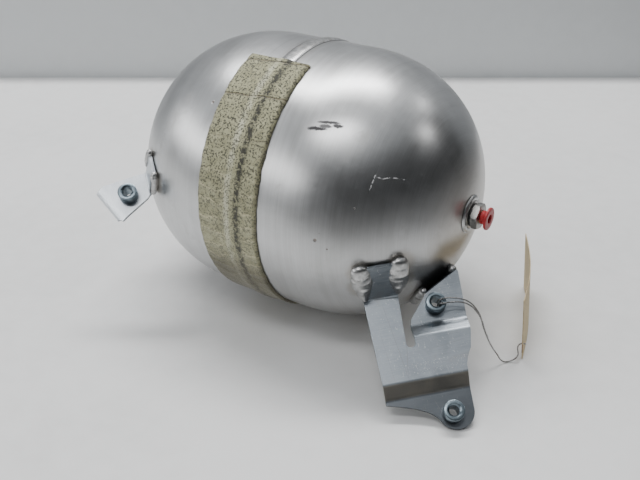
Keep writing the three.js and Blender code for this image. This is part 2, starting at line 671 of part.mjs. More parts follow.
const bushFace = onLong(LONG_UPPER[0], LONG_UPPER[1], BUSH_HEIGHT - RISE);
const overRim = WIRE_RADIUS + GAP + 0.2;
const wireFloor = floorZ + WIRE_RADIUS + 2 * FLOOR_CLEAR;
const onCard = ([away, side, up]) => vec(away, side, up).applyMatrix4(card);
put(looseTag, 'tag_wire', wire([
  along(bushFace, [foldAxis, 1.4], [armAxis, -0.8], [faceNormal, -5]),
  along(bushFace, [foldAxis, 1.7], [armAxis, -0.8], [faceNormal, -0.6]),
  along(bushFace, [foldAxis, 4.2], [armAxis, -0.6], [faceNormal, overRim + 0.6]),
  along(bushFace, [foldAxis, 9], [armAxis, -0.4], [faceNormal, overRim + 0.6]),
  vec(149, -41, -42.6), vec(152.6, -37.5, -45.7), vec(155.6, -34.4, -50.5),
  vec(158.8, -31, -58.5), vec(161.2, -28.7, -68.5), vec(165.5, -24.3, -82.9),
  vec(170, -19.8, -93.5), vec(174.2, -15.4, wireFloor + 0.6), vec(177.6, -11.6, wireFloor),
  ...[[-3, 3.6, 4.6], [3.4, 3.2, 9.3], [6, 0.6, 9.6], [6.3, -2.2, 9.4]].map(onCard),
]), STEEL);
put(looseTag, 'tag_wire_tail', wire([
  along(bushFace, [foldAxis, 1.2], [armAxis, 1.6], [faceNormal, -5]),
  along(bushFace, [foldAxis, 1.5], [armAxis, 1.7], [faceNormal, -0.6]),
  along(bushFace, [foldAxis, 4.2], [armAxis, 2.6], [faceNormal, overRim + 0.6]),
  along(bushFace, [foldAxis, 9], [armAxis, 2.6], [faceNormal, overRim - 0.2]),
  vec(149.6, -41.6, -44.6), vec(153.6, -38.6, -47.4), vec(157.2, -35.6, -52.4),
  vec(160.4, -32.2, -60.4), vec(162.8, -30, -69.5), vec(165, -28.4, -76),
]), STEEL);

const group = new THREE.Group();
for (const child of [vessel, looseTag]) {
  child.position.set(-centre.x, -centre.y, -floorZ);
  group.add(child);
}

export default group;
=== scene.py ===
import math

import bmesh
import bpy
from mathutils import Matrix, Vector


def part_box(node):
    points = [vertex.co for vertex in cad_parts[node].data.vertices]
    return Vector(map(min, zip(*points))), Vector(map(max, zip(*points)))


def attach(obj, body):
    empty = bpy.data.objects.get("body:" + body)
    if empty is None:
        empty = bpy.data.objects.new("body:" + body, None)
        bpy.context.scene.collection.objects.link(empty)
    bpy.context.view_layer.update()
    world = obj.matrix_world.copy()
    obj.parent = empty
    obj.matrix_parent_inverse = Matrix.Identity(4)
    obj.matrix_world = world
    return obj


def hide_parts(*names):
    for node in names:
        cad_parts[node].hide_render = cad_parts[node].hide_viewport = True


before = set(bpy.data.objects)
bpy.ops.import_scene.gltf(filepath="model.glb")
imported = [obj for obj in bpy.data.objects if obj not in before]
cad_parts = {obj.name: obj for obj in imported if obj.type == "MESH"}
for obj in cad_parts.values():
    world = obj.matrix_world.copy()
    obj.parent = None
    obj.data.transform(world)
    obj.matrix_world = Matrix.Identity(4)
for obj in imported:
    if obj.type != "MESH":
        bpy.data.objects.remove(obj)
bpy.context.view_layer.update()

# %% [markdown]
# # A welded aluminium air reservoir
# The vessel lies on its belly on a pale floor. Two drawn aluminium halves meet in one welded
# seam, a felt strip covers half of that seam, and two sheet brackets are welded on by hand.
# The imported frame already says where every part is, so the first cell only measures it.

mm = 0.001
seam_low, seam_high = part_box("girth_weld")
vessel_middle = (Vector(seam_low) + Vector(seam_high)) / 2
print("vessel middle", [round(v, 4) for v in vessel_middle])

# %% [markdown]
# The camera comes first, because it says what has to be good. It stands in front of the
# bracket side, a little above the vessel, and looks down at it.

# %% Camera
camera_from_middle = Vector((328.3, -495.6, 275.8)) * mm
view_direction = Vector((-0.4737, 0.7291, -0.4939))
bpy.ops.object.camera_add(location=vessel_middle + camera_from_middle)
camera = bpy.context.object
camera.name = "studio_camera"
camera.rotation_euler = view_direction.to_track_quat("-Z", "Y").to_euler()
camera.data.sensor_width = 36
camera.data.lens = 47.47
bpy.context.scene.camera = camera
camera_right = view_direction.cross(Vector((0, 0, 1))).normalized()

# %% [markdown]
# ## Driving sizes
# These are the same few sizes that the frame was designed from: a short cylinder with domes
# that are a little fuller than an ellipse, 2.5 mm bracket sheet, and bushes for 6 mm bolts.

# %% Driving sizes
vessel_radius = 100 * mm
half_length = 132.4 * mm
straight_half = 33.2 * mm
dome_power = 2.1
wall = 3 * mm
sheet = 2.5 * mm
gap = 0.3 * mm
rise = 4.5 * mm

# %% [markdown]
# ## Working as by hand
# Every piece is modelled with the same operators that a person would press in the viewport.
# These helpers clear the selection, start from a single point, draw on from it, and finish a
# piece so that its object sits at the origin.


# %% Selection and finishing helpers
def calm():
    if bpy.context.mode != "OBJECT":
        bpy.ops.object.mode_set(mode="OBJECT")
    bpy.ops.object.select_all(action="DESELECT")


def take(piece):
    calm()
    piece.select_set(True)
    bpy.context.view_layer.objects.active = piece


def edit(piece):
    take(piece)
    bpy.ops.object.mode_set(mode="EDIT")


def choose(piece, kind, wanted):
    """In edit mode, selects the verts, edges or faces for which wanted(element) is true."""
    bpy.ops.mesh.select_mode(type=kind)
    bpy.ops.mesh.select_all(action="DESELECT")
    shape = bmesh.from_edit_mesh(piece.data)
    group = {"VERT": shape.verts, "EDGE": shape.edges, "FACE": shape.faces}[kind]
    count = 0
    for element in group:
        if wanted(element):
            element.select_set(True)
            count += 1
    shape.select_flush_mode()
    bmesh.update_edit_mesh(piece.data)
    return count


def apply_all(piece):
    take(piece)
    for modifier in list(piece.modifiers):
        bpy.ops.object.modifier_apply(modifier=modifier.name)


def settle(piece, smooth_angle=35):
    """Applies what is left on a piece and smooths its gentle edges."""
    apply_all(piece)
    bpy.ops.object.transform_apply(location=True, rotation=True, scale=True)
    bpy.ops.object.shade_smooth_by_angle(angle=math.radians(smooth_angle))
    apply_all(piece)
    faces = len(piece.data.polygons)
    print(f"{piece.name}: {faces} faces, {piece.dimensions.length / mm:.1f} mm corner to corner")
    return piece


# %% Drawing a line of points, and spinning it
def draw_line(name, points):
    """A chain of vertices, drawn on from one point; the piece is left in edit mode."""
    calm()
    bpy.ops.mesh.primitive_plane_add(size=1 * mm, location=points[0])
    piece = bpy.context.object
    piece.name = name
    bpy.ops.object.transform_apply(location=True, rotation=True, scale=True)
    bpy.ops.object.mode_set(mode="EDIT")
    bpy.ops.mesh.select_mode(type="VERT")
    bpy.ops.mesh.select_all(action="SELECT")
    bpy.ops.mesh.merge(type="CENTER")
    for before, after in zip(points, points[1:]):
        bpy.ops.mesh.extrude_region_move(TRANSFORM_OT_translate={"value": after - before})
    return piece


def merge_doubles():
    bpy.ops.mesh.select_all(action="SELECT")
    bpy.ops.mesh.remove_doubles(threshold=0.004 * mm)
    bpy.ops.mesh.select_all(action="SELECT")


def all_outward():
    bpy.ops.mesh.select_all(action="SELECT")
    bpy.ops.mesh.normals_make_consistent(inside=False)


def close_shape():
    merge_doubles()
    all_outward()


def look_towards(piece, face, direction):
    """Flips a piece's skin when one of its faces looks away from direction."""
    if face.normal.dot(direction) < 0:
        edit(piece)
        bpy.ops.mesh.select_all(action="SELECT")
        bpy.ops.mesh.flip_normals()
        bpy.ops.object.mode_set(mode="OBJECT")


def largest_face(piece):
    return max(piece.data.polygons, key=lambda face: face.area)


def turned(name, centre, axis, profile, steps, start=None, sweep=2 * math.pi):
    """Spins a profile of (radius, place along the axis) round an axis through centre."""
    axis = axis.normalized()
    start = (start or axis.orthogonal()).normalized()
    points = [centre + start * radius + axis * along for radius, along in profile]
    piece = draw_line(name, points)
    bpy.ops.mesh.select_all(action="SELECT")
    bpy.ops.mesh.spin(steps=steps, angle=sweep, center=centre, axis=-axis)
    close_shape()
    bpy.ops.object.mode_set(mode="OBJECT")
    return piece


def carve(piece, cutter, operation="DIFFERENCE"):
    """Cuts or joins two closed pieces with an applied Boolean, and removes the second."""
    take(piece)
    cut = piece.modifiers.new("cut", "BOOLEAN")
    cut.operation = operation
    cut.solver = "EXACT"
    cut.object = cutter
    bpy.ops.object.modifier_apply(modifier=cut.name)
    take(cutter)
    bpy.ops.object.delete()
    return piece


def soften_edges(piece, width, angle=40, segments=2):
    bevel = piece.modifiers.new("soft_edges", "BEVEL")
    bevel.width = width
    bevel.segments = segments
    bevel.limit_method = "ANGLE"
    bevel.angle_limit = math.radians(angle)
    bevel.use_clamp_overlap = True
    bevel.harden_normals = False
    return piece


# %% [markdown]
# ## Shader arithmetic
# A material is easier to read as a sum than as a web of nodes. `Signal` wraps one socket, so
# `1 - mask * 0.5` adds the Math nodes by itself, and `Finish.add` makes every other node.


# %% Signals and finishes
class Signal:
    """One socket of a finish; arithmetic on it adds Math nodes."""

    def __init__(self, finish, socket):
        self.finish = finish
        self.socket = socket

    def through(self, operation, *others):
        return self.finish.math(operation, self, *others)

    def __add__(self, other):
        return self.finish.math("ADD", self, other)

    def __radd__(self, other):
        return self.finish.math("ADD", other, self)

    def __sub__(self, other):
        return self.finish.math("SUBTRACT", self, other)

    def __rsub__(self, other):
        return self.finish.math("SUBTRACT", other, self)

    def __mul__(self, other):
        return self.finish.math("MULTIPLY", self, other)

    def __rmul__(self, other):
        return self.finish.math("MULTIPLY", other, self)

    def __truediv__(self, other):
        return self.finish.math("DIVIDE", self, other)

    def __pow__(self, other):
        return self.finish.math("POWER", self, other)

    def between(self, low, high):
        """0 at low, 1 at high, eased between them; low may be the larger."""
        settings = {"interpolation_type": "SMOOTHSTEP"}
        if low <= high:
            values = {"Value": self, "From Min": low, "From Max": high}
            return self.finish.out(self.finish.add("ShaderNodeMapRange", settings, values))
        return 1 - self.between(high, low)


class Web:
    """A node tree that is filled in code."""

    def __init__(self, tree):
        self.tree = tree
        self.tree.nodes.clear()

    def add(self, kind, settings, values):
        """Any node: its settings first, then the values or links of its sockets."""
        node = self.tree.nodes.new(kind)
        for key, value in settings.items():
            if key == "stops":
                ramp = node.color_ramp
                while len(ramp.elements) < len(value):
                    ramp.elements.new(0.5)
                for element, (position, colour) in zip(ramp.elements, value):
                    element.position = position
                    element.color = (*colour, 1)
            else:
                setattr(node, key, value)
        for key, value in values.items():
            if isinstance(value, Signal):
                self.tree.links.new(value.socket, node.inputs[key])
            elif isinstance(value, tuple) and len(value) == 3 and node.inputs[key].type == "RGBA":
                node.inputs[key].default_value = (*value, 1)
            else:
                node.inputs[key].default_value = value
        return node

    def out(self, node, key=0):
        return Signal(self, node.outputs[key])

    def math(self, operation, *values):
        return self.out(self.add("ShaderNodeMath", {"operation": operation},
                                 dict(enumerate(values))))

    def place(self, centre=(0, 0, 0)):
        """The point being shaded, measured from centre, as one vector and as x, y and z."""
        here = self.add("ShaderNodeTexCoord", {}, {})
        moved = self.add("ShaderNodeMapping", {"vector_type": "POINT"},
                         {"Vector": self.out(here, "Object"),
                          "Location": tuple(-v for v in centre)})
        point = self.out(moved)
        split = self.add("ShaderNodeSeparateXYZ", {}, {"Vector": point})
        return point, self.out(split, 0), self.out(split, 1), self.out(split, 2)

    def vector(self, x, y, z):
        return self.out(self.add("ShaderNodeCombineXYZ", {}, {"X": x, "Y": y, "Z": z}))

    def along(self, point, direction, origin):
        """How far the point lies from origin along a direction."""
        dot = self.add("ShaderNodeVectorMath", {"operation": "DOT_PRODUCT"},
                       {0: point, 1: tuple(direction)})
        return self.out(dot, "Value") - direction.dot(origin)

    def noise(self, point, scale, detail=2.0, roughness=0.5, distortion=0.0, w=None):
        settings = {"noise_dimensions": "3D" if w is None else "4D"}
        values = {"Vector": point, "Scale": scale, "Detail": detail,
                  "Roughness": roughness, "Distortion": distortion}
        if w is not None:
            values["W"] = w
        return self.out(self.add("ShaderNodeTexNoise", settings, values), 0)

    def cells(self, point, scale):
        return self.out(self.add("ShaderNodeTexVoronoi", {"feature": "F1"},
                                 {"Vector": point, "Scale": scale}), 0)

    def mix(self, factor, first, second):
        node = self.add("ShaderNodeMix", {"data_type": "RGBA", "clamp_factor": True},
                        {0: factor, 6: first, 7: second})
        return self.out(node, 2)


class Finish(Web):
    """A material built in code, with its surface shader ready to be fed."""

    def __init__(self, name, **constants):
        self.material = bpy.data.materials.new(name)
        self.material.use_nodes = True
        super().__init__(self.material.node_tree)
        self.surface = self.add("ShaderNodeBsdfPrincipled", {}, constants)
        self.add("ShaderNodeOutputMaterial", {}, {"Surface": self.out(self.surface)})

    def finish(self, colour=None, roughness=None, height=None, depth=0.0):
        """Feeds the surface shader; height goes through one Bump node."""
        feeds = {"Base Color": colour, "Roughness": roughness}
        for key, signal in feeds.items():
            if isinstance(signal, Signal):
                self.tree.links.new(signal.socket, self.surface.inputs[key])
        if height is not None:
            bump = self.add("ShaderNodeBump", {}, {"Height": height, "Distance": depth,
                                                   "Strength": 1.0})
            self.tree.links.new(bump.outputs[0], self.surface.inputs["Normal"])
        return self.material


def strongest(signals):
    """At every point, the largest of several signals."""
    most = signals[0]
    for signal in signals[1:]:
        most = most.through("MAXIMUM", signal)
    return most


def wear(piece, material):
    piece.data.materials.clear()
    piece.data.materials.append(material)
    return piece


def belongs(piece, node, body="reservoir"):
    """Parents a piece to its body's empty and hides the imported node that it stands for."""
    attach(piece, body)
    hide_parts(node)


# %% [markdown]
# ## The skin of the vessel
# The same formula gives the dome's outline and the points where the brackets touch it. A
# superellipse with a power of 2.1 is a true ellipse with slightly fuller shoulders.


# %% The dome's outline and skin
def dome_reach(radius, offset=0.0):
    reach = half_length - straight_half + offset
    share = min(radius / (vessel_radius + offset), 1)
    return straight_half + reach * (1 - share**dome_power) ** (1 / dome_power)


def dome_line(offset, start, end_radius, steps):
    top = vessel_radius + offset
    line = [(top, start), (top, start + (straight_half - start) / 2), (top, straight_half)]
    last = math.acos((end_radius / top) ** (dome_power / 2))
    for i in range(1, steps + 1):
        angle = last * i / steps
        radius = max(top * max(math.cos(angle), 0) ** (2 / dome_power), end_radius)
        line.append((radius, dome_reach(radius, offset)))
    return line


def skin_at(x, angle):
    """Point from the vessel's middle, and outward normal, at an angle from the top to -Y."""
    reach = half_length - straight_half
    share = max((abs(x) - straight_half) / reach, 0)
    ratio = (1 - share**dome_power) ** (1 / dome_power)
    slope = (share / ratio) ** (dome_power - 1) * vessel_radius / reach
    radius = vessel_radius * ratio
    point = Vector((x, -radius * math.sin(angle), radius * math.cos(angle)))
    normal = Vector((math.copysign(slope, x), -math.sin(angle), math.cos(angle)))
    return point, normal.normalized()


def bisect(value, low, high):
    rising = value(high) > value(low)
    for _ in range(50):
        middle = (low + high) / 2
        if (value(middle) > 0) == rising:
            high = middle
        else:
            low = middle
    return (low + high) / 2


def flange_contact(fold_point, fold_direction, standing, low_angle, high_angle):
    """Where a flange that folds on a line lies flat against the port end's dome."""

    def at(angle):
        x = bisect(lambda place: skin_at(place, angle)[1].dot(fold_direction),
                   40 * mm, 131.5 * mm)
        return skin_at(x, angle)

    def height(angle):
        point, normal = at(angle)
        return (fold_point - point).dot(normal) - standing

    return at(bisect(height, math.radians(low_angle), math.radians(high_angle)))


# %% [markdown]
# Both brackets bolt to one flat face of the vehicle, so all three bushes point the same way.
# The fold of the long bracket is turned a little from level. Everything on the brackets is
# measured in the sheet's own two directions, along the fold and down the arm.

# %% Bracket directions
face_azimuth = math.radians(-55.5)
face_elevation = math.radians(53.4)
fold_turn = math.radians(9.9)
x_axis = Vector((1, 0, 0))
face_normal = Vector((math.cos(face_elevation) * math.cos(face_azimuth),
                      math.cos(face_elevation) * math.sin(face_azimuth),
                      math.sin(face_elevation)))
level = Vector((-math.sin(face_azimuth), math.cos(face_azimuth), 0))
uphill = face_normal.cross(level)
fold_axis = level * math.cos(fold_turn) + uphill * math.sin(fold_turn)
arm_axis = fold_axis.cross(face_normal)
arm_corner = vessel_middle + Vector((92.9, -75.1, -45.8)) * mm


def on_long(u, v, height=0.0):
    """A point of the long bracket, in millimetres along the fold and down the arm."""
    return arm_corner + fold_axis * (u * mm) + arm_axis * (v * mm) + face_normal * height


class Flange:
    """A flat flange: where it starts, its two directions and its outward normal."""

    def __init__(self, origin, fold, contact):
        point, self.normal = contact
        self.origin = origin
        self.fold = fold
        self.rising = self.normal.cross(fold)
        if self.rising.dot(point + vessel_middle - origin) < 0:
            self.rising = -self.rising

    def at(self, first, second, height=0.0):
        return (self.origin + self.fold * (first * mm) + self.rising * (second * mm)
                + self.normal * height)


arm_flange = Flange(arm_corner, fold_axis,
                    flange_contact(arm_corner - vessel_middle, fold_axis, sheet + gap, 100, 125))
tab_fold = [(44.2, -1.7), (67.8, -14.1)]
tab_start, tab_end = [on_long(u, v, -rise) for u, v in tab_fold]
tab_axis = (tab_end - tab_start).normalized()
tab_length = (tab_end - tab_start).length / mm
tab_flange = Flange(tab_start, tab_axis,
                    flange_contact(tab_start - vessel_middle, tab_axis, gap, 145, 175))

short_contact = skin_at(-88 * mm, math.radians(82))
short_fold = short_contact[1].cross(face_normal).normalized()
if short_fold.z < 0:
    short_fold = -short_fold
short_out = face_normal.cross(short_fold)
if short_out.x > 0:
    short_out = -short_out
short_rise = short_contact[1].cross(short_fold)
if short_rise.z < 0:
    short_rise = -short_rise
short_corner = (vessel_middle + short_contact[0] + short_contact[1] * (sheet + gap)
                - short_rise * (8.3 * mm) - short_fold * (6.8 * mm))
short_flange = Flange(short_corner, short_fold, short_contact)


def on_short(s, q, height=0.0):
    """A point of the short bracket, in millimetres out from the fold and along it."""
    return short_corner + short_out * (s * mm) + short_fold * (q * mm) + face_normal * height


print("arm flange leans", round(math.degrees(face_normal.angle(arm_flange.normal)), 1))

# %% [markdown]
# ## The tag's wire
# A thin steel wire comes out of the upper bush's bore, drops to the floor and goes through
# the tag's eyelet. Its other end was twisted once round it and then left free. The route
# repeats the frame's own points, measured from the bush, the vessel and the card.

# %% Card directions
card_length = 100
card_height = 50
card_bow = 4 * mm
card_lean = math.radians(5)
card_away = Vector((-0.347, 0.938, 0))
card_up = Vector((-math.sin(card_lean) * card_away.y, math.sin(card_lean) * card_away.x,
                  math.cos(card_lean)))
card_side = card_up.cross(card_away)
card_near = Vector((vessel_middle.x + 184.2 * mm, vessel_middle.y - 3.7 * mm, 0.3 * mm))
card_thick = 0.6 * mm
hole_away = 6
hole_up = 9.5


def bow_at(away):
    return card_bow * math.sin(math.pi * away / card_length)


def on_card(away, side, up):
    return (card_near + card_away * (away * mm) + card_side * (side * mm)
            + card_up * (up * mm))


# %% The wire and its free tail
wire_radius = 0.5 * mm
bush_height = 8.3 * mm
upper_bush = (46.3, 10)
lower_bush = (39.6, 84.3)
bush_face = on_long(*upper_bush, bush_height - rise)
over_rim = 1.6 * mm
wire_floor = wire_radius + 2 * gap


def from_bush(fold, arm, height):
    return bush_face + fold_axis * (fold * mm) + arm_axis * (arm * mm) + face_normal * height


def from_middle(x, y, z):
    return vessel_middle + Vector((x, y, z)) * mm


def on_floor(x, y, height):
    return Vector((vessel_middle.x + x * mm, vessel_middle.y + y * mm, height))


def wire_curve(name, points):
    """One open, smooth spline through the points, as thick as the wire."""
    line = bpy.data.curves.new(name, "CURVE")
    line.dimensions = "3D"
    line.resolution_u = 10
    line.bevel_depth = 1
    line.bevel_resolution = 5
    line.use_fill_caps = True
    spline = line.splines.new("BEZIER")
    spline.bezier_points.add(len(points) - 1)
    for knot, point in zip(spline.bezier_points, points):
        knot.co = point
        knot.radius = wire_radius
        knot.handle_left_type = "AUTO"
        knot.handle_right_type = "AUTO"
    piece = bpy.data.objects.new(name, line)
    bpy.context.collection.objects.link(piece)
    return piece


wire_route = [
    from_bush(1.4, -0.8, -5 * mm), from_bush(1.7, -0.8, -0.6 * mm),
    from_bush(4.2, -0.6, over_rim), from_bush(9, -0.4, over_rim),
    from_middle(149, -41, -42.6), from_middle(152.6, -37.5, -45.7),
    from_middle(155.6, -34.4, -50.5), from_middle(158.8, -31, -58.5),
    from_middle(161.2, -28.7, -68.5), from_middle(165.5, -24.3, -82.9),
    from_middle(170, -19.8, -93.5), on_floor(174.2, -15.4, wire_floor + 0.6 * mm),
    on_floor(177.6, -11.6, wire_floor), on_card(-3, 3.6, 4.6), on_card(3.4, 3.2, 9.3),
    on_card(6, 0.6, 9.6), on_card(6.3, -2.2, 9.4),
]
tail_route = [
    from_bush(1.2, 1.6, -5 * mm), from_bush(1.5, 1.7, -0.6 * mm),
    from_bush(4.2, 2.6, over_rim), from_bush(9, 2.6, over_rim - 0.8 * mm),
    from_middle(149.6, -41.6, -44.6), from_middle(153.6, -38.6, -47.4),
    from_middle(157.2, -35.6, -52.4), from_middle(160.4, -32.2, -60.4),
    from_middle(162.8, -30, -69.5), from_middle(165, -28.4, -76),
]
tag_wire = wire_curve("tag_wire_line", wire_route)
tag_tail = wire_curve("tag_wire_tail_line", tail_route)
belongs(tag_wire, "tag_wire")
belongs(tag_tail, "tag_wire_tail")
print("wire points", len(wire_route), "tail points", len(tail_route))

# %% [markdown]
# ## The tag
# The card is drawn as a shallow arc on the floor and pulled straight up. It gets its
# thickness, then the eyelet is cut, and a round fibre patch strengthens the eyelet.


# %% Card and eyelet patch
def rod(name, centre, axis, radius, depth, vertices=48):
    """A cylinder used as a drill."""
    calm()
    bpy.ops.mesh.primitive_cylinder_add(vertices=vertices, radius=radius, depth=depth,
                                        location=centre,
                                        rotation=axis.to_track_quat("Z", "X").to_euler())
    drill = bpy.context.object
    drill.name = name
    return drill


card_steps = 36
card_line = [on_card(card_length * i / card_steps, 0, 0)
             - card_side * bow_at(card_length * i / card_steps) for i in range(card_steps + 1)]
card = draw_line("paper_tag", card_line)
bpy.ops.mesh.select_all(action="SELECT")
card_rows = 16
for _ in range(card_rows):
    bpy.ops.mesh.extrude_region_move(
        TRANSFORM_OT_translate={"value": card_up * (card_height * mm / card_rows)})
all_outward()
bpy.ops.object.mode_set(mode="OBJECT")
look_towards(card, card.data.polygons[0], card_side)
body = card.modifiers.new("card_body", "SOLIDIFY")
body.thickness = card_thick
body.offset = 1
apply_all(card)
eyelet_at = on_card(hole_away, 0, hole_up) - card_side * bow_at(hole_away)
carve(card, rod("eyelet_drill", eyelet_at, card_side, 2 * mm, 20 * mm))
settle(card, 50)
belongs(card, "tag_card")

patch_low = card_thick / mm + 0.3
patch = turned("eyelet_patch", eyelet_at, card_side,
               [(2 * mm, patch_low * mm), (2.2 * mm, (patch_low + 0.5) * mm),
                (6.7 * mm, (patch_low + 0.5) * mm), (7 * mm, (patch_low + 0.35) * mm),
                (7 * mm, patch_low * mm), (2 * mm, patch_low * mm)], 48)
settle(patch, 40)
belongs(patch, "tag_patch")

# %% [markdown]
# ## The stage
# A pale floor, a low pale wall behind it, and soft light. A long tube hangs beyond the plain
# end and makes the broad band across the shoulder. A shorter one hangs in front, a wide window
# stands low on the left, and two small lamps far behind the port end make two soft spots. The
# floor colour is painted dark outside the view, near the camera and to its right: painted shade.


# %% Floor and wall
def cloudy(surface, point, darker, paler):
    cloud = surface.noise(point, 3.0, 5.0, 0.6)
    fine = surface.noise(point, 60.0, 3.0, 0.5)
    return surface.mix((cloud * 0.7 + fine * 0.3).between(0.35, 0.6), darker, paler)


def stage_plane(name, size, location, rotation, material):
    calm()
    bpy.ops.mesh.primitive_plane_add(size=1, location=location, rotation=rotation)
    plane = bpy.context.object
    plane.name = name
    plane.scale = (*size, 1)
    bpy.ops.object.transform_apply(location=True, rotation=True, scale=True)
    plane.data.materials.append(material)
    return plane


heading = Vector((view_direction.x, view_direction.y, 0)).normalized()
camera_foot = Vector((camera.location.x, camera.location.y, 0))

pale_floor = Finish("floor_pale", Roughness=0.5)
point, x, y, z = pale_floor.place()
floor_colour = cloudy(pale_floor, point, (0.70, 0.70, 0.695), (0.76, 0.76, 0.755))
ahead = pale_floor.along(point, heading, camera_foot)
beside = pale_floor.along(point, camera_right, camera_foot)
# Painted shade: the floor colour turns dark near the camera and to its right, where the floor
# would lie in shade.
painted_floor_shade = ahead.between(0.38, 0.12).through("MAXIMUM", (beside - ahead * 0.42).between(0.02, 0.2))
floor_colour = pale_floor.mix(painted_floor_shade * 0.85, floor_colour, (0.10, 0.10, 0.10))
floor_material = pale_floor.finish(colour=floor_colour)
pale_wall = Finish("wall_pale", Roughness=0.6)
point, x, y, z = pale_wall.place()
wall_material = pale_wall.finish(
    colour=cloudy(pale_wall, point, (0.5952, 0.6144, 0.624), (0.62, 0.64, 0.65)))
wall_height = 0.13
wall_foot = camera_foot + heading * 1.12
heading_turn = math.atan2(heading.y, heading.x) - math.pi / 2
stage_plane("studio_floor", (9, 9), (0, 0, 0), (0, 0, 0), floor_material)
stage_plane("studio_wall", (5, wall_height), wall_foot + Vector((0, 0, wall_height / 2)),
            (math.radians(90), 0, heading_turn), wall_material)


# %% Lights
def softbox(name, location, turn, size, energy, target=None):
    """A rectangular lamp that faces straight down, or its target."""
    bpy.ops.object.light_add(type="AREA", location=location)
    lamp = bpy.context.object
    lamp.name = name
    lamp.data.shape = "RECTANGLE"
    lamp.data.size = size[0]
    lamp.data.size_y = size[1]
    lamp.data.energy = energy
    lamp.rotation_euler = (0, 0, turn)
    if target is not None:
        facing = Vector(target) - Vector(location)
        lamp.rotation_euler = facing.to_track_quat("-Z", "Y").to_euler()
    return lamp


tube_turn = math.radians(34)
softbox("long_tube", (-0.63, 0.60, 2.3), tube_turn, (2.1, 0.42), 62)
softbox("short_tube", (0.0, -1.15, 2.3), tube_turn, (1.35, 0.30), 19)
softbox("far_lamp_low", (1.71, 1.03, 1.5), 0, (0.22, 0.22), 2.4, target=(0, 0, 0.1))
softbox("far_lamp_high", (1.00, 1.62, 1.75), 0, (0.22, 0.22), 2.0, target=(0, 0, 0.1))
softbox("side_window", (-1.56, -1.56, 0.90), 0, (2.7, 0.6), 19, target=(0, 0, 0.1))

# %% [markdown]
# The air round the stage is pale overhead, a little darker at the level of the floor, and
# dark beyond the port end, because polished metal needs something dark to show.

# %% Studio air
studio_air = bpy.data.worlds.new("studio_air")
studio_air.use_nodes = True
bpy.context.scene.world = studio_air
air = Web(studio_air.node_tree)
direction = air.out(air.add("ShaderNodeTexCoord", {}, {}), "Generated")
high = air.out(air.add("ShaderNodeSeparateXYZ", {}, {"Vector": direction}), 2)
centre = Vector((0, 0, 0))
dark_side = air.along(direction, Vector((0.951, -0.309, 0)), centre).between(0.05, 0.35)
dark_side = dark_side * high.between(0.84, 0.58)
pale_air = air.mix(high.between(0.0, 0.75), (0.34, 0.355, 0.37), (0.52, 0.54, 0.56))
air_colour = air.mix(dark_side, pale_air, (0.042, 0.044, 0.047))
glow = air.add("ShaderNodeBackground", {}, {"Color": air_colour, "Strength": 1.0})
air.add("ShaderNodeOutputWorld", {}, {"Surface": air.out(glow)})
print("stage ready")

# %% [markdown]
# ## The vessel
# Each half is a profile spun about the long axis: out over the dome, round the edge of the
# hole or through the pole, and back along the inside of the wall.

# %% Two vessel halves
groove_root = 1 * mm
groove_top = 4 * mm
boss_radius = 10 * mm
dome_points = 44


def shell_half(name, direction, pole_radius):
    outer = dome_line(0.0, groove_top, pole_radius, dome_points)
    inner = dome_line(-wall, groove_root, pole_radius, dome_points)
    profile = outer + inner[::-1] + outer[:1]
    half = turned(name, vessel_middle, x_axis * direction, profile, 192, Vector((0, 0, 1)))
    return settle(half, 30)


port_half = shell_half("port_end_skin", 1, boss_radius + gap)
plain_half = shell_half("plain_end_skin", -1, 0.0)
belongs(port_half, "port_end_shell")
belongs(plain_half, "plain_end_shell")

# %% [markdown]
# The seam's bead is a low, even crown that fills the groove between the halves. Its ripples
# are too fine to model, so they come with its finish.

# %% Seam bead
bead_half = 5.5 * mm
bead_height = 1.5 * mm
bead_crown = []
for i in range(13):
    across = -1 + 2 * i / 12
    crown = max(1 - abs(across) ** 2.6, 0) ** 0.7
    bead_crown.append((vessel_radius + gap / 2 + (bead_height - gap / 2) * crown,
                       bead_half * across))
bead_root = [(vessel_radius + gap / 2, groove_top), (vessel_radius - wall - 0.5 * mm, 0.6 * mm),
             (vessel_radius - wall - 0.5 * mm, -0.6 * mm),
             (vessel_radius + gap / 2, -groove_top)]
bead = turned("seam_bead", vessel_middle, x_axis, bead_crown + bead_root + bead_crown[:1],
              240, Vector((0, 0, 1)))
settle(bead, 30)
belongs(bead, "girth_weld")

# %% [markdown]
# ## The felt strip
# One section of felt, with a ridge where it climbs over the bead, is swept half-way round
# under the belly. Its long edges wander a little, and its ends are cut straight across.

# %% Felt strip
felt_start = math.radians(19)
felt_end = math.radians(200)
felt_near = 20 * mm
felt_far = -30.2 * mm
felt_inner = vessel_radius + gap
felt_thick = 1.9 * mm
felt_ridge = 1.2 * mm
felt_columns = 40
felt_steps = 220


def felt_top(x):
    ridge = 1 / (1 + (x / (5.2 * mm)) ** 4)
    edge = min((x - felt_far), (felt_near - x)) / (2.4 * mm)
    roll = math.sqrt(max(1 - (1 - min(edge, 1)) ** 2, 0))
    return felt_inner + felt_thick * (0.25 + 0.75 * roll) + (felt_ridge - 0.25 * mm) * ridge


def felt_bottom(x):
    return felt_inner + (bead_height + 0.1 * mm) * max(1 - (x / (9 * mm)) ** 2, 0)


columns = [felt_far + (felt_near - felt_far) * i / felt_columns for i in range(felt_columns + 1)]
felt_profile = [(felt_top(x), x) for x in columns]
felt_profile += [(felt_bottom(x), x) for x in columns[::-2]]
felt_profile += felt_profile[:1]


def felt_direction(angle):
    return Vector((0, -math.sin(angle), math.cos(angle)))


felt = turned("felt_band", vessel_middle, x_axis, felt_profile, felt_steps,
              felt_direction(felt_start), felt_end - felt_start)
edit(felt)
bpy.ops.mesh.select_all(action="DESELECT")
bpy.ops.mesh.select_non_manifold()
bpy.ops.mesh.fill()
all_outward()
bpy.ops.object.mode_set(mode="OBJECT")


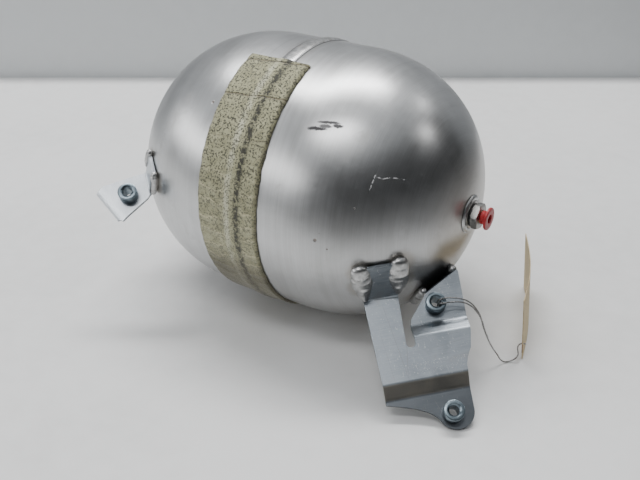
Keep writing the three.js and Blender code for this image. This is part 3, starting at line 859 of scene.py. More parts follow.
def displaced(piece, name, kind, size, strength, direction, group=None, **settings):
    """Moves a piece's skin by a procedural texture read in the frame's own space."""
    pattern = bpy.data.textures.new(name, kind)
    pattern.noise_scale = size
    for key, value in settings.items():
        setattr(pattern, key, value)
    move = piece.modifiers.new(name, "DISPLACE")
    move.texture = pattern
    move.texture_coords = "GLOBAL"
    move.strength = strength
    move.mid_level = 0.5
    move.direction = direction
    if group:
        move.vertex_group = group
    return move


def group_of(piece, name, wanted):
    edit(piece)
    choose(piece, "VERT", wanted)
    take_group = piece.vertex_groups.new(name=name)
    piece.vertex_groups.active = take_group
    bpy.ops.object.vertex_group_assign()
    bpy.ops.object.mode_set(mode="OBJECT")
    return name


def near_felt_edge(vertex):
    x = vertex.co.x - vessel_middle.x
    return min(x - felt_far, felt_near - x) < 1.6 * mm


def felt_outside(vertex):
    x = vertex.co.x - vessel_middle.x
    radius = math.hypot(vertex.co.y - vessel_middle.y, vertex.co.z - vessel_middle.z)
    return radius > felt_top(x) - 0.8 * mm and not near_felt_edge(vertex)


displaced(felt, "ragged_edge", "CLOUDS", 0.007, 1.5 * mm, "X",
          group_of(felt, "edge", near_felt_edge), noise_depth=3)
displaced(felt, "lumpy_top", "CLOUDS", 0.0035, 0.5 * mm, "NORMAL",
          group_of(felt, "outside", felt_outside), noise_depth=2)
settle(felt, 60)
belongs(felt, "felt_strip")

# %% [markdown]
# ## The air port
# A machined boss is welded through the port end. A hexagon push-in fitting screws into it
# against a gasket, and a red plug keeps dirt out of it until the air line goes in.

# %% Port pieces
boss_face = 133.6 * mm
boss_bore = 6.2 * mm
hex_start = 135.2 * mm
hex_end = 140 * mm
hex_flats = 17 * mm
mouth_radius = 4.7 * mm
line_radius = 3.2 * mm


def port_piece(name, profile, node, body="reservoir", steps=72, smooth_angle=40):
    piece = turned(name, vessel_middle, x_axis, profile, steps)
    settle(piece, smooth_angle)
    belongs(piece, node, body)
    return piece


boss_back = dome_reach(boss_radius, -wall) - 7 * mm
boss = port_piece("port_boss_ring", [
    (boss_bore, boss_back), (boss_radius - 1 * mm, boss_back), (boss_radius, boss_back + 1 * mm),
    (boss_radius, boss_face - 0.5 * mm), (boss_radius - 0.15 * mm, boss_face - 0.15 * mm),
    (boss_radius - 0.5 * mm, boss_face), (boss_bore + 0.4 * mm, boss_face),
    (boss_bore, boss_face - 0.4 * mm), (boss_bore, boss_back),
], "port_boss")

weld_inner = boss_radius + gap
weld_outer = weld_inner + 3.7 * mm
port_weld = port_piece("port_weld_ring", [
    (weld_inner, dome_reach(weld_inner) + gap), (weld_outer, dome_reach(weld_outer) + gap),
    (weld_outer - 0.25 * mm, dome_reach(weld_outer) + 0.85 * mm),
    (weld_outer - 1 * mm, dome_reach(weld_outer) + 1.55 * mm),
    (weld_outer - 2 * mm, dome_reach(weld_outer) + 2.0 * mm),
    (weld_outer - 3 * mm, boss_face - 0.35 * mm), (weld_inner, boss_face - 0.3 * mm),
    (weld_inner, dome_reach(weld_inner) + gap),
], "port_boss_weld", steps=120, smooth_angle=70)

gasket = port_piece("gasket_ring", [
    (boss_bore + 0.1 * mm, boss_face + gap), (8.2 * mm, boss_face + gap),
    (8.4 * mm, boss_face + 0.5 * mm), (8.4 * mm, hex_start - 0.5 * mm),
    (8.2 * mm, hex_start - gap), (boss_bore + 0.1 * mm, hex_start - gap),
    (boss_bore + 0.1 * mm, boss_face + gap),
], "fitting_gasket")

seal = port_piece("air_line_seal", [
    (line_radius, 131.6 * mm), (line_radius + 0.3 * mm, 131.3 * mm), (4.1 * mm, 131.3 * mm),
    (mouth_radius - gap, 131.6 * mm), (mouth_radius - gap, 132.8 * mm), (4.1 * mm, 133.1 * mm),
    (line_radius + 0.3 * mm, 133.1 * mm), (line_radius, 132.8 * mm), (line_radius, 131.6 * mm),
], "line_seal")

collet_outer = mouth_radius - gap
collet = port_piece("collet_ring", [
    (line_radius, 134.2 * mm), (collet_outer - 0.6 * mm, 134.2 * mm),
    (collet_outer, 134.8 * mm), (collet_outer, 139.35 * mm),
    (collet_outer - 0.25 * mm, 139.6 * mm), (line_radius + 0.5 * mm, 139.6 * mm),
    (line_radius, 139.1 * mm), (line_radius, 134.2 * mm),
], "release_collet", body="collet")

plug_neck = hex_end + gap
plug_shoulder = plug_neck + 4.3 * mm
plug_face = plug_shoulder + 1.8 * mm
plug_radius = 8.1 * mm
plug = port_piece("red_plug", [
    (0, 127.2 * mm), (2.1 * mm, 127.2 * mm), (2.7 * mm, 127.6 * mm), (2.9 * mm, 128.2 * mm),
    (2.9 * mm, plug_neck), (4.45 * mm, plug_neck), (4.85 * mm, plug_neck + 0.4 * mm),
    (4.85 * mm, plug_shoulder - 0.5 * mm), (5.1 * mm, plug_shoulder - 0.1 * mm),
    (5.5 * mm, plug_shoulder), (plug_radius - 0.35 * mm, plug_shoulder),
    (plug_radius, plug_shoulder + 0.35 * mm), (plug_radius, plug_face - 0.5 * mm),
    (plug_radius - 0.15 * mm, plug_face - 0.15 * mm), (plug_radius - 0.5 * mm, plug_face),
    (3.7 * mm, plug_face), (3.35 * mm, plug_face - 0.12 * mm), (3.2 * mm, plug_face - 0.5 * mm),
    (3.2 * mm, plug_neck + 1.1 * mm), (2.9 * mm, plug_neck + 0.8 * mm), (0, plug_neck + 0.8 * mm),
], "transport_plug", body="plug", steps=96)

# %% [markdown]
# The hexagon is a six-sided bar, turned on both faces so that its corners are chamfered, with
# its screwed shank added and its stepped bore drilled.

# %% Hexagon fitting
hex_corner = hex_flats / 2 / math.cos(math.radians(30))
hex_bar = rod("hexagon_fitting", vessel_middle + x_axis * ((hex_start + hex_end) / 2),
              x_axis, hex_corner, hex_end - hex_start, vertices=6)
bpy.ops.transform.rotate(value=math.radians(12), orient_axis="X",
                         center_override=vessel_middle)
bpy.ops.object.transform_apply(location=True, rotation=True, scale=True)
chamfer = turned("chamfer", vessel_middle, x_axis, [
    (0, hex_start), (hex_corner - 0.9 * mm, hex_start),
    (hex_corner + 0.1 * mm, hex_start + 0.9 * mm),
    (hex_corner + 0.1 * mm, hex_end - 0.9 * mm), (hex_corner - 0.9 * mm, hex_end), (0, hex_end),
], 96)
shank = turned("shank", vessel_middle, x_axis, [
    (0, 124 * mm), (5.2 * mm, 124 * mm), (boss_bore - gap, 125 * mm),
    (boss_bore - gap, hex_start + 1 * mm), (0, hex_start + 1 * mm),
], 72)
bore = turned("bore", vessel_middle, x_axis, [
    (0, 120 * mm), (2.3 * mm, 120 * mm), (2.3 * mm, 126 * mm), (line_radius + 0.1 * mm, 126 * mm),
    (line_radius + 0.1 * mm, 131 * mm), (mouth_radius, 131 * mm),
    (mouth_radius, hex_end - 0.4 * mm), (mouth_radius + 0.6 * mm, hex_end + 0.2 * mm),
    (mouth_radius + 0.6 * mm, 145 * mm), (0, 145 * mm),
], 72)
carve(hex_bar, chamfer, "INTERSECT")
carve(hex_bar, shank, "UNION")
carve(hex_bar, bore)
soften_edges(hex_bar, 0.18 * mm, 25)
settle(hex_bar, 30)
belongs(hex_bar, "hex_fitting")

# %% [markdown]
# ## The long bracket
# It is made as the sheet-metal worker made it: the flat blank is outlined first, its lower end
# and its tab are stepped down, the two flanges are folded, and only then does the surface get
# its 2.5 mm of metal and its holes.


# %% Sheet helpers
def arc_points(centre, radius, start, end, steps):
    """Points round an arc, in degrees, in the sheet's own two directions."""
    turn = [math.radians(start + (end - start) * i / steps) for i in range(steps + 1)]
    return [(centre[0] + radius * math.cos(a), centre[1] + radius * math.sin(a)) for a in turn]


def curve_points(start, control, end, steps):
    points = []
    for i in range(1, steps + 1):
        t = i / steps
        points.append(tuple(start[k] * (1 - t) ** 2 + control[k] * 2 * t * (1 - t)
                            + end[k] * t**2 for k in (0, 1)))
    return points


def blank(name, points):
    """A flat closed outline, filled; the piece is left in edit mode."""
    piece = draw_line(name, points + points[:1])
    merge_doubles()
    bpy.ops.mesh.edge_face_add()
    return piece


def crease(point, direction):
    """Scores the blank across, where a plane at right angles to direction meets it."""
    bpy.ops.mesh.select_all(action="SELECT")
    bpy.ops.mesh.bisect(plane_co=point, plane_no=direction)


def fold_out(piece, on_fold, pull, steps=1):
    """Extrudes the edge that lies on a fold, in the direction of the flange."""
    count = choose(piece, "EDGE", on_fold)
    for _ in range(steps):
        bpy.ops.mesh.extrude_region_move(TRANSFORM_OT_translate={"value": pull / steps})
    return count


def round_fold(piece, on_fold, width):
    choose(piece, "EDGE", on_fold)
    bpy.ops.mesh.bevel(offset=width, segments=5, profile=0.5, affect="EDGES")


def sheet_metal(piece, holes):
    """Gives a folded surface its thickness on the inner side, then its holes."""
    bpy.ops.object.mode_set(mode="OBJECT")
    metal = piece.modifiers.new("sheet", "SOLIDIFY")
    metal.thickness = sheet
    metal.offset = -1
    metal.use_even_offset = True
    apply_all(piece)
    edit(piece)
    close_shape()
    bpy.ops.object.mode_set(mode="OBJECT")
    for centre in holes:
        carve(piece, rod("shank_drill", centre, face_normal, 4.9 * mm, 16 * mm, 40))
    soften_edges(piece, 0.3 * mm, 35)
    settle(piece, 32)
    even = piece.modifiers.new("flat_faces_stay_flat", "WEIGHTED_NORMAL")
    even.weight = 100
    even.keep_sharp = True
    apply_all(piece)
    return piece


# %% Long bracket
tab_step = (21.5, 30.5)
foot_step = (60, 69)
wide_bend = 1.6 * mm
tight_bend = 1.3 * mm
arm_flange_long = 32 * mm
tab_flange_long = 35 * mm
long_outline = [(-1.9, -1.75), (-1.9, 71.5), (11, 75.3)]
long_outline += curve_points((11, 75.3), (26.5, 80), (30.9, 87.4), 8)
long_outline += arc_points((42.3, 83.2), 12.2, 160, 0, 22)
long_outline += [(56.3, 56)]
long_outline += curve_points((56.3, 56), (58, 50), (62, 44.6), 6)
long_outline += [(65.1, 32.8), (68.7, -11.9), (67.8, -14.1), (44.2, -1.7), (27.9, 17),
                 (26.5, 21.5), (26.3, 34)]
long_outline += arc_points((23, 34), 3.3, 0, 180, 14)[1:]
long_outline += [(22.2, 0), (0.6, 0), (0.6, -1.75)]


def sheet_place(point):
    """How far a point lies along the fold and down the arm, in millimetres."""
    offset = point - arm_corner
    return offset.dot(fold_axis) / mm, offset.dot(arm_axis) / mm


def near_line(start, end, slack=0.15 * mm):
    """True for edges whose two ends lie on the line between two points."""
    direction = (end - start).normalized()
    length = (end - start).length

    def wanted(edge):
        for vertex in edge.verts:
            offset = vertex.co - start
            along = offset.dot(direction)
            if (offset - direction * along).length > slack or not -slack < along < length + slack:
                return False
        return True
    return wanted


long_bracket = blank("long_bracket_sheet", [on_long(u, v) for u, v in long_outline])
for step_at in tab_step + foot_step:
    crease(on_long(0, step_at), arm_axis)
choose(long_bracket, "VERT", lambda v: sheet_place(v.co)[1] > foot_step[1] - 0.1)
bpy.ops.transform.translate(value=-face_normal * rise)
choose(long_bracket, "VERT",
       lambda v: sheet_place(v.co)[0] > 24 and sheet_place(v.co)[1] < tab_step[0] + 0.1)
bpy.ops.transform.translate(value=-face_normal * rise)
arm_fold = near_line(on_long(0.6, 0), on_long(22.2, 0))
tab_fold_line = near_line(tab_start, tab_end)
folded = fold_out(long_bracket, arm_fold, arm_flange.rising * arm_flange_long, 4)
folded += fold_out(long_bracket, tab_fold_line, tab_flange.rising * tab_flange_long, 4)
all_outward()
bpy.ops.object.mode_set(mode="OBJECT")
look_towards(long_bracket, largest_face(long_bracket), face_normal)
edit(long_bracket)
round_fold(long_bracket, arm_fold, wide_bend)
round_fold(long_bracket, tab_fold_line, tight_bend)
for left, step_at, drop, bend in (
        (-3, foot_step[0], 0, wide_bend), (-3, foot_step[1], rise, wide_bend),
        (25, tab_step[0], rise, tight_bend), (25, tab_step[1], 0, tight_bend)):
    round_fold(long_bracket,
               near_line(on_long(left, step_at, -drop), on_long(72, step_at, -drop)), bend)
long_holes = [on_long(*upper_bush, -rise), on_long(*lower_bush, -rise)]
sheet_metal(long_bracket, long_holes)
belongs(long_bracket, "long_bracket")
print("folded edges", folded)

# %% [markdown]
# ## The short bracket
# A small plate with one flange against the vessel and a narrow lip along its free side.

# %% Short bracket
joggle = 0.6 * mm
short_plate = [(0, 8.9), (33, 6), (38.5, 2.5), (27, -23.5), (24, -25.3), (2.7, -12.4), (0, -9)]
short_bracket = blank("short_bracket_sheet", [on_short(s, q) for s, q in short_plate])
lip_start = on_short(38.5, 2.5)
lip_end = on_short(27, -23.5)
lip_across = (lip_end - lip_start).cross(face_normal).normalized()
if (on_short(10, 0) - lip_start).dot(lip_across) > 0:
    lip_across = -lip_across
crease(lip_start - lip_across * (5 * mm), lip_across)
crease(lip_start - lip_across * (3.4 * mm), lip_across)


def past_joggle(vertex):
    return (vertex.co - lip_start).dot(lip_across) > -3.5 * mm


choose(short_bracket, "VERT", past_joggle)
bpy.ops.transform.translate(value=-face_normal * joggle)
lip_start -= face_normal * joggle
lip_end -= face_normal * joggle
lip_fold = near_line(lip_start, lip_end)
flange_fold = near_line(on_short(0, -9), on_short(0, 8.9))
folded = fold_out(short_bracket, lip_fold, -face_normal * (3.4 * mm) + lip_across * (0.8 * mm), 2)
folded += fold_out(short_bracket, flange_fold,
                   short_flange.rising * (17 * mm) + short_flange.fold * (7 * mm), 3)
all_outward()
bpy.ops.object.mode_set(mode="OBJECT")
look_towards(short_bracket, largest_face(short_bracket), face_normal)
edit(short_bracket)
round_fold(short_bracket, lip_fold, 1.4 * mm)
round_fold(short_bracket, flange_fold, tight_bend)
short_hole = on_short(15.8, -7.1)
sheet_metal(short_bracket, [short_hole])
belongs(short_bracket, "short_bracket")
print("folded edges", folded)

# %% [markdown]
# ## Bushes
# Three turned bushes of one pattern are pressed through the sheets. Each stands 8.3 mm tall on
# the sheet and ends in a shallow rivet rim behind it.

# %% Bushes
bush_radius = 7 * mm
bush_bore = 3.3 * mm
shank_radius = 4.6 * mm
below = -sheet - gap
bush_profile = [
    (bush_bore, below - 0.9 * mm), (shank_radius + 0.7 * mm, below - 0.9 * mm),
    (shank_radius + 1 * mm, below), (shank_radius, below), (shank_radius, gap),
    (bush_radius - 0.2 * mm, gap), (bush_radius, gap + 0.2 * mm),
    (bush_radius, bush_height - 0.6 * mm), (bush_radius - 0.2 * mm, bush_height - 0.2 * mm),
    (bush_radius - 0.6 * mm, bush_height), (bush_bore + 1.5 * mm, bush_height),
    (bush_bore + 1.2 * mm, bush_height - 0.2 * mm), (bush_bore + 0.2 * mm, bush_height - 1 * mm),
    (bush_bore, bush_height - 1.3 * mm), (bush_bore, below - 0.9 * mm),
]
bushes = []
for name, seat, node in (("upper_bush_turned", long_holes[0], "long_bracket_upper_bush"),
                         ("lower_bush_turned", long_holes[1], "long_bracket_lower_bush"),
                         ("short_bush_turned", short_hole, "short_bracket_bush")):
    bush = turned(name, seat, face_normal, bush_profile, 72)
    settle(bush, 30)
    belongs(bush, node)
    bushes.append(bush)

# %% [markdown]
# ## Hand-laid welds
# A weld is a row of frozen drops. Each row is built from many flattened drops that overlap,
# fused into one skin, and relaxed a little so that only soft ripples are left.


# %% Weld rows
def weld_row(name, flange, start, end, drops, widths, height, node):
    parts = []
    for i in range(drops):
        share = i / (drops - 1)
        swell = 1 + 0.025 * math.sin(2.4 * i + start[0]) + 0.03 * math.cos(1.3 * i + start[1])
        taper = 1 - 0.22 * abs(2 * share - 1) ** 3
        width = widths[0] + (widths[1] - widths[0]) * min(share * 1.8, 1)
        first = start[0] + (end[0] - start[0]) * share + 0.15 * math.sin(1.9 * i)
        second = start[1] + (end[1] - start[1]) * share
        calm()
        bpy.ops.mesh.primitive_ico_sphere_add(subdivisions=4, radius=1,
                                              location=flange.at(first, second, -1.5 * mm))
        drop = bpy.context.object
        drop.rotation_euler = Matrix((flange.fold, flange.rising, flange.normal)).transposed() \
            .to_euler()
        drop.scale = (width * swell * taper * mm, min(width * 0.85, 5) * mm,
                      height * (2 - swell) * taper * mm)
        parts.append(drop)
    calm()
    for part in parts:
        part.select_set(True)
    bpy.context.view_layer.objects.active = parts[0]
    bpy.ops.object.join()
    row = bpy.context.object
    row.name = name
    bpy.ops.object.transform_apply(location=True, rotation=True, scale=True)
    skin = row.modifiers.new("fuse", "REMESH")
    skin.mode = "VOXEL"
    skin.voxel_size = 0.42 * mm
    apply_all(row)
    relax = row.modifiers.new("relax", "SMOOTH")
    relax.factor = 0.5
    relax.iterations = 8
    displaced(row, name + "_lumps", "CLOUDS", 0.005, 0.4 * mm, "NORMAL", noise_depth=1)
    settle(row, 180)
    belongs(row, node)
    return row


weld_rows = [
    weld_row("arm_weld_row_left", arm_flange, (-0.8, 3.5), (-3.6, 29.5), 13, (3.6, 7.4), 5.2,
             "arm_weld_left"),
    weld_row("arm_weld_row_right", arm_flange, (22.6, 5.5), (23.4, 31), 13, (4.0, 7.6), 5.4,
             "arm_weld_right"),
    weld_row("tab_weld_row_inner", tab_flange, (-0.5, 9), (-1, 33), 12, (4.4, 4.8), 4.8,
             "tab_weld_inner"),
    weld_row("tab_weld_row_outer", tab_flange, (tab_length + 0.5, 9), (tab_length + 1, 33), 12,
             (4.4, 4.8), 4.8, "tab_weld_outer"),
    weld_row("short_weld_row_lower", short_flange, (-9.5, 2.5), (-3, 15), 8, (2.8, 3.6), 3.4,
             "short_weld_lower"),
    weld_row("short_weld_row_upper", short_flange, (12, 6), (15.5, 17), 7, (2.6, 3.6), 3.2,
             "short_weld_upper"),
]

# %% [markdown]
# ## Finishes
# Spun aluminium is never evenly bright. Fine turning lines run round the vessel, cloudy
# stains lie over them, and the heat of each weld has left a brown or dark halo.


# %% Spun aluminium
def round_axis(y, z):
    """Distance from the long axis, and two smooth signals that turn with the vessel."""
    radius = (y * y + z * z).through("SQRT")
    safe = radius.through("MAXIMUM", 0.001)
    return radius, y / safe, z / safe


def near_spot(finish, point, centre, reach, softness=0.6):
    """1 close to a point, falling to 0 at reach."""
    gone = finish.add("ShaderNodeVectorMath", {"operation": "DISTANCE"},
                      {0: point, 1: tuple(centre)})
    return finish.out(gone, "Value").between(reach, reach * (1 - softness))


def near_stroke(finish, point, start, end, width):
    """1 on a straight scratch between two points, 0 away from it."""
    middle = (start + end) / 2
    direction = (end - start).normalized()
    half = (end - start).length / 2
    along = finish.along(point, direction, middle)
    gone = finish.add("ShaderNodeVectorMath", {"operation": "DISTANCE"},
                      {0: point, 1: tuple(middle)})
    distance = finish.out(gone, "Value")
    across = (distance * distance - along * along).through("MAXIMUM", 0.0).through("SQRT")
    return across.between(width, width * 0.3) * along.through("ABSOLUTE").between(
        half * 1.05, half * 0.8)


def flat_stroke(finish, point, start, end, width, normal):
    """1 on a straight scratch between two points, whatever its depth along the normal."""
    middle = (start + end) / 2
    direction = (end - start).normalized()
    half = (end - start).length / 2
    along = finish.along(point, direction, middle).through("ABSOLUTE")
    across = finish.along(point, normal.cross(direction), middle).through("ABSOLUTE")
    return across.between(width, width * 0.3) * along.between(half * 1.05, half * 0.8)


def spun_aluminium(name, marks=True):
    spun = Finish(name, Metallic=1.0, IOR=1.4)
    point, x, y, z = spun.place(vessel_middle)
    radius, turn_y, turn_z = round_axis(y, z)
    lines_at = spun.vector(x * 2600, turn_y * 2.2, turn_z * 2.2)
    pole_lines_at = spun.vector(radius * 2600, turn_y * 2.2, turn_z * 2.2)
    on_dome = x.through("ABSOLUTE").between(0.085, 0.118)
    side_lines = spun.noise(lines_at, 1.0, 3.0, 0.6)
    pole_lines = spun.noise(pole_lines_at, 1.0, 3.0, 0.6)
    lines = side_lines * (1 - on_dome) + pole_lines * on_dome
    bands_at = spun.vector(x * 260, turn_y * 0.9, turn_z * 0.9)
    bands = spun.noise(bands_at, 1.0, 4.0, 0.55)
    cloud = spun.noise(point, 22, 5.0, 0.62, 0.4)
    haze = spun.noise(point, 7, 3.0, 0.5, w=3.1)
    speck = spun.noise(point, 420, 2.0, 0.5)
    handling = spun.noise(point, 95, 3.0, 0.65, 1.2, w=1.7)
    tone = (0.5 + (cloud - 0.5) * 0.7 + (bands - 0.5) * 0.30 + (lines - 0.5) * 0.40
            + (haze - 0.5) * 0.5)
    colour = spun.mix(tone.between(0.15, 0.85), (0.40, 0.40, 0.395), (0.60, 0.605, 0.61))
    stain = cloud.between(0.56, 0.72) * handling.between(0.42, 0.62)
    colour = spun.mix(stain * 0.35, colour, (0.33, 0.32, 0.30))
    rough = (0.33 + (cloud - 0.5) * 0.12 + (bands - 0.5) * 0.04 + (lines - 0.5) * 0.10
             + stain * 0.10 + speck.between(0.62, 0.75) * 0.06)
    height = lines * 0.40 + bands * 0.05 + handling * 0.12 + haze * 3.0
    # Painted reflection: the belly is tinted brown where it would mirror the floor.
    belly_floor_reflection = z.between(-0.045, -0.1)
    colour = spun.mix(belly_floor_reflection * cloud.between(0.35, 0.6) * 0.55, colour, (0.36, 0.32, 0.265))
    port_heat = radius.between(0.058, 0.022) * x.between(0.0, 0.02)
    colour = spun.mix(port_heat * (0.12 + cloud * 0.25), colour, (0.40, 0.335, 0.26))
    seam_side = x.through("ABSOLUTE")
    colour = spun.mix(seam_side.between(0.012, 0.0062) * 0.45 * handling.between(0.3, 0.6),
                      colour, (0.30, 0.28, 0.26))
    colour = spun.mix(seam_side.between(0.0069, 0.0060) * 0.75, colour, (0.10, 0.10, 0.10))
    heated = ((arm_flange, -2, 10, 17), (arm_flange, -2, 25, 17), (arm_flange, 25, 12, 18),
              (arm_flange, 25, 27, 18), (tab_flange, 0, 20, 20), (tab_flange, tab_length, 22, 20),
              (short_flange, -6, 10, 15), (short_flange, 14, 12, 13))
    halo = strongest([near_spot(spun, point, flange.at(first, second, -2.5 * mm) - vessel_middle,
                                reach * mm, 0.7) for flange, first, second, reach in heated])
    ragged = (halo + (handling - 0.5) * 0.35) * halo.between(0.0, 0.2)
    colour = spun.mix(ragged.between(0.3, 0.9) * 0.45, colour, (0.31, 0.27, 0.22))
    rough = rough + halo * 0.06
    if marks:
        smear_at = Vector((26.6, -57.9, 174.8)) * mm - vessel_middle
        smear_along = Vector((0.97, 0.20, 0.12)).normalized()
        smear_normal = smear_at.normalized()
        smear_across = smear_normal.cross(smear_along).normalized()
        broken = spun.noise(point, 330, 3.0, 0.7, w=5.0)
        smears = []
        for shift, lift, long, wide, depth in ((-3, -2.6, 8, 1.7, 1.0), (2.5, -0.6, 5, 1.5, 0.85),
                                               (4, 2.2, 9, 1.3, 0.95), (10.5, 0.2, 4, 1.6, 0.95)):
            spot_at = smear_at + smear_along * (shift * mm) + smear_across * (lift * mm)
            a = spun.along(point, smear_along, spot_at) / (long * mm)
            b = spun.along(point, smear_across, spot_at) / (wide * mm) + (broken - 0.5) * 2.2
            c = spun.along(point, smear_normal, spot_at) / (20 * mm)
            smears.append((a * a + b * b + c * c).between(1.0, 0.35) * depth)
        smear = strongest(smears)
        colour = spun.mix(smear * 0.93, colour, (0.035, 0.033, 0.035))
        rough = rough + smear * 0.2
        scratch_at = Vector((70.3, -57.5, 146.1)) * mm - vessel_middle
        normal = scratch_at.normalized()
        scratch_along = normal.cross(Vector((0.25, 0, 1))).normalized()
        scratch_across = normal.cross(scratch_along)
        corners = [(6.5, 6.0), (5.0, 2.0), (2.6, -4.5), (1.4, -2.3), (-1.9, -1.3),
                   (-6.7, -2.3), (-12.3, -1.8), (-17.0, -0.8)]
        knots = [scratch_at + scratch_along * (a * mm) + scratch_across * (b * mm)
                 for a, b in corners]
        scratch = strongest([flat_stroke(spun, point, start, end, 0.55 * mm, normal)
                             for start, end in zip(knots, knots[1:])])
        scratch = scratch * spun.along(point, normal, scratch_at).between(-20 * mm, -10 * mm)
        scratch = scratch * spun.noise(point, 620, 2.0, 0.6, w=6.0).between(0.40, 0.56)
        colour = spun.mix(scratch * 0.7, colour, (0.96, 0.96, 0.96))
        rough = rough + scratch * 0.45
        for place_at, reach in (((39.2, -85.8, 106.8), 1.6), ((41.5, -84.0, 112.0), 1.0),
                                ((47, -83.5, 101), 0.9), ((-61.1, -61, 173.8), 1.5),
                                ((60.5, -72, 130), 0.8)):
            pit = near_spot(spun, point, Vector(place_at) * mm - vessel_middle, reach * mm, 0.5)
            colour = spun.mix(pit * 0.7, colour, (0.16, 0.12, 0.09))
            height = height - pit * 3.0
    return spun.finish(colour=colour, roughness=rough, height=height, depth=0.00005)


skin_finish = spun_aluminium("spun_aluminium_skin")
wear(port_half, skin_finish)
wear(plain_half, skin_finish)
wear(boss, spun_aluminium("turned_aluminium_boss", marks=False))
print("skin nodes", len(skin_finish.node_tree.nodes))

# %% [markdown]
# Weld metal is brighter and smoother than the sheet. Where it froze it left fine crescents,
# and soot settled in the hollows.


# %% Weld metal
def weld_metal(name, ripple=None):
    weld = Finish(name, Metallic=1.0)
    point, x, y, z = weld.place(vessel_middle)
    lumps = weld.noise(point, 260, 3.0, 0.55)
    grain = weld.noise(point, 1500, 2.0, 0.6)
    soot = weld.noise(point, 120, 4.0, 0.65, 0.8, w=2.0)
    height = lumps * 0.9 + grain * 0.2
    if ripple:
        height = height + ripple(weld, point, x, y, z)
    colour = weld.mix(lumps.between(0.3, 0.7), (0.38, 0.38, 0.375), (0.58, 0.58, 0.575))
    colour = weld.mix(soot.between(0.52, 0.68) * 0.6, colour, (0.15, 0.14, 0.125))
    rough = 0.33 + (grain - 0.5) * 0.2 + soot.between(0.5, 0.7) * 0.2
    return weld.finish(colour=colour, roughness=rough, height=height, depth=0.00012)


def seam_ripple(weld, point, x, y, z):
    """Crescents round the seam, one every 1.9 mm, bowed by their distance from its middle."""
    angle = y.through("ARCTAN2", z)
    wander = weld.noise(point, 160, 2.0, 0.5, w=4.0)
    phase = angle * (vessel_radius / (1.9 * mm)) + x * x * 42000 + wander * 1.5
    return (phase * (2 * math.pi)).through("SINE") * 0.16


for row in weld_rows:
    wear(row, weld_metal(row.name + "_metal"))
wear(bead, weld_metal("seam_bead_metal", seam_ripple))
wear(port_weld, weld_metal("port_weld_metal"))

# %% [markdown]
# The bracket sheet is rolled, so its grain runs one way; it is bluish and scuffed. The ramp of
# the long bracket's lower step gets a painted brownish reflection, and its foot painted shade.


# %% Rolled sheet
def rolled_sheet(name, origin, along_grain, across_grain, up, dull, bright, painted_ramp_reflections=()):
    rolled = Finish(name, Metallic=1.0)
    point, x, y, z = rolled.place()
    a = rolled.along(point, along_grain, origin)
    b = rolled.along(point, across_grain, origin)
    c = rolled.along(point, up, origin)
    grain = rolled.noise(rolled.vector(a * 60, b * 2400, c * 60), 1.0, 3.0, 0.6)
    cloud = rolled.noise(point, 48, 5.0, 0.6, 0.5)
    scuff = rolled.noise(rolled.vector(a * 420, b * 130, c * 130), 1.0, 3.0, 0.7, 2.0)
    fleck = rolled.noise(point, 900, 2.0, 0.5, w=6.0)
    tone = cloud * 0.55 + grain * 0.45
    colour = rolled.mix(tone.between(0.3, 0.7), dull, bright)
    marks = scuff.between(0.60, 0.68) * fleck.between(0.45, 0.55)
    colour = rolled.mix(marks * 0.5, colour, (0.80, 0.81, 0.82))
    dirt = cloud.between(0.60, 0.74)
    colour = rolled.mix(dirt * 0.4, colour, (0.24, 0.24, 0.235))
    # Painted reflection: each listed band across the sheet, the ramp of a step, is tinted brown
    # to stand in for what the ramp mirrors.
    for low, high, strength in painted_ramp_reflections:
        band = b.between(low - 0.0012, low) * b.between(high + 0.0012, high)
        colour = rolled.mix(band * strength * (0.5 + cloud), colour, (0.50, 0.455, 0.38))
    rough = 0.36 + (grain - 0.5) * 0.2 + (cloud - 0.5) * 0.16 + marks * 0.12
    height = grain * 0.4 + scuff * 0.35 + fleck * 0.15
    return rolled, point, colour, rough, height, (a, b, c)


rolled, point, colour, rough, height, (a, b, c) = rolled_sheet(
    "rolled_sheet_long", arm_corner, fold_axis, arm_axis, face_normal,
    (0.225, 0.25, 0.275), (0.33, 0.36, 0.39),
    painted_ramp_reflections=((0.0605, 0.0685, 0.7),))
# Painted shade: the foot beyond the lower step is coloured much darker than the plate above it.
painted_foot_shade = b.between(0.0665, 0.0715)
colour = rolled.mix(painted_foot_shade * 0.78, colour, (0.075, 0.082, 0.09))
strokes = []
for start, end, width in (((10, 3), (16.5, 62), 0.28), ((21, 30), (16, 56), 0.26),
                          ((4, 20), (7, 64), 0.16), ((34, 41), (58, 38), 0.14),
                          ((30, 74), (36, 92), 0.14), ((50, 5), (63, 14), 0.12)):
    start_at = on_long(*start) if start[1] < 68 else on_long(*start, -rise)
    end_at = on_long(*end) if end[1] < 68 else on_long(*end, -rise)
    strokes.append(near_stroke(rolled, point, start_at, end_at, width * mm))
colour = rolled.mix(strongest(strokes) * 0.6, colour, (0.22, 0.22, 0.225))
punch = rolled.noise(rolled.vector(a * 900, b * 1300, c * 10), 1.0, 2.0, 0.6, w=8.0)
row_one = b.between(0.0475, 0.0485) * b.between(0.0515, 0.0505)
row_two = b.between(0.0525, 0.0535) * b.between(0.0565, 0.0555)
struck = (row_one + row_two).through("MINIMUM", 1.0) * a.between(0.008, 0.012)
struck = struck * punch.between(0.60, 0.66)
colour = rolled.mix(struck * 0.6, colour, (0.85, 0.86, 0.87))
long_finish = rolled.finish(colour=colour, roughness=rough, height=height - struck * 1.5,
                            depth=0.00006)
wear(long_bracket, long_finish)

rolled, point, colour, rough, height, _ = rolled_sheet(
    "rolled_sheet_short", short_corner, short_fold, short_out, face_normal,
    (0.50, 0.53, 0.56), (0.68, 0.71, 0.74))
wear(short_bracket, rolled.finish(colour=colour, roughness=rough, height=height,
                                  depth=0.00006))

# %% [markdown]
# Zinc plate is blue-grey and slightly cloudy, and it shows the fine rings of its turning.


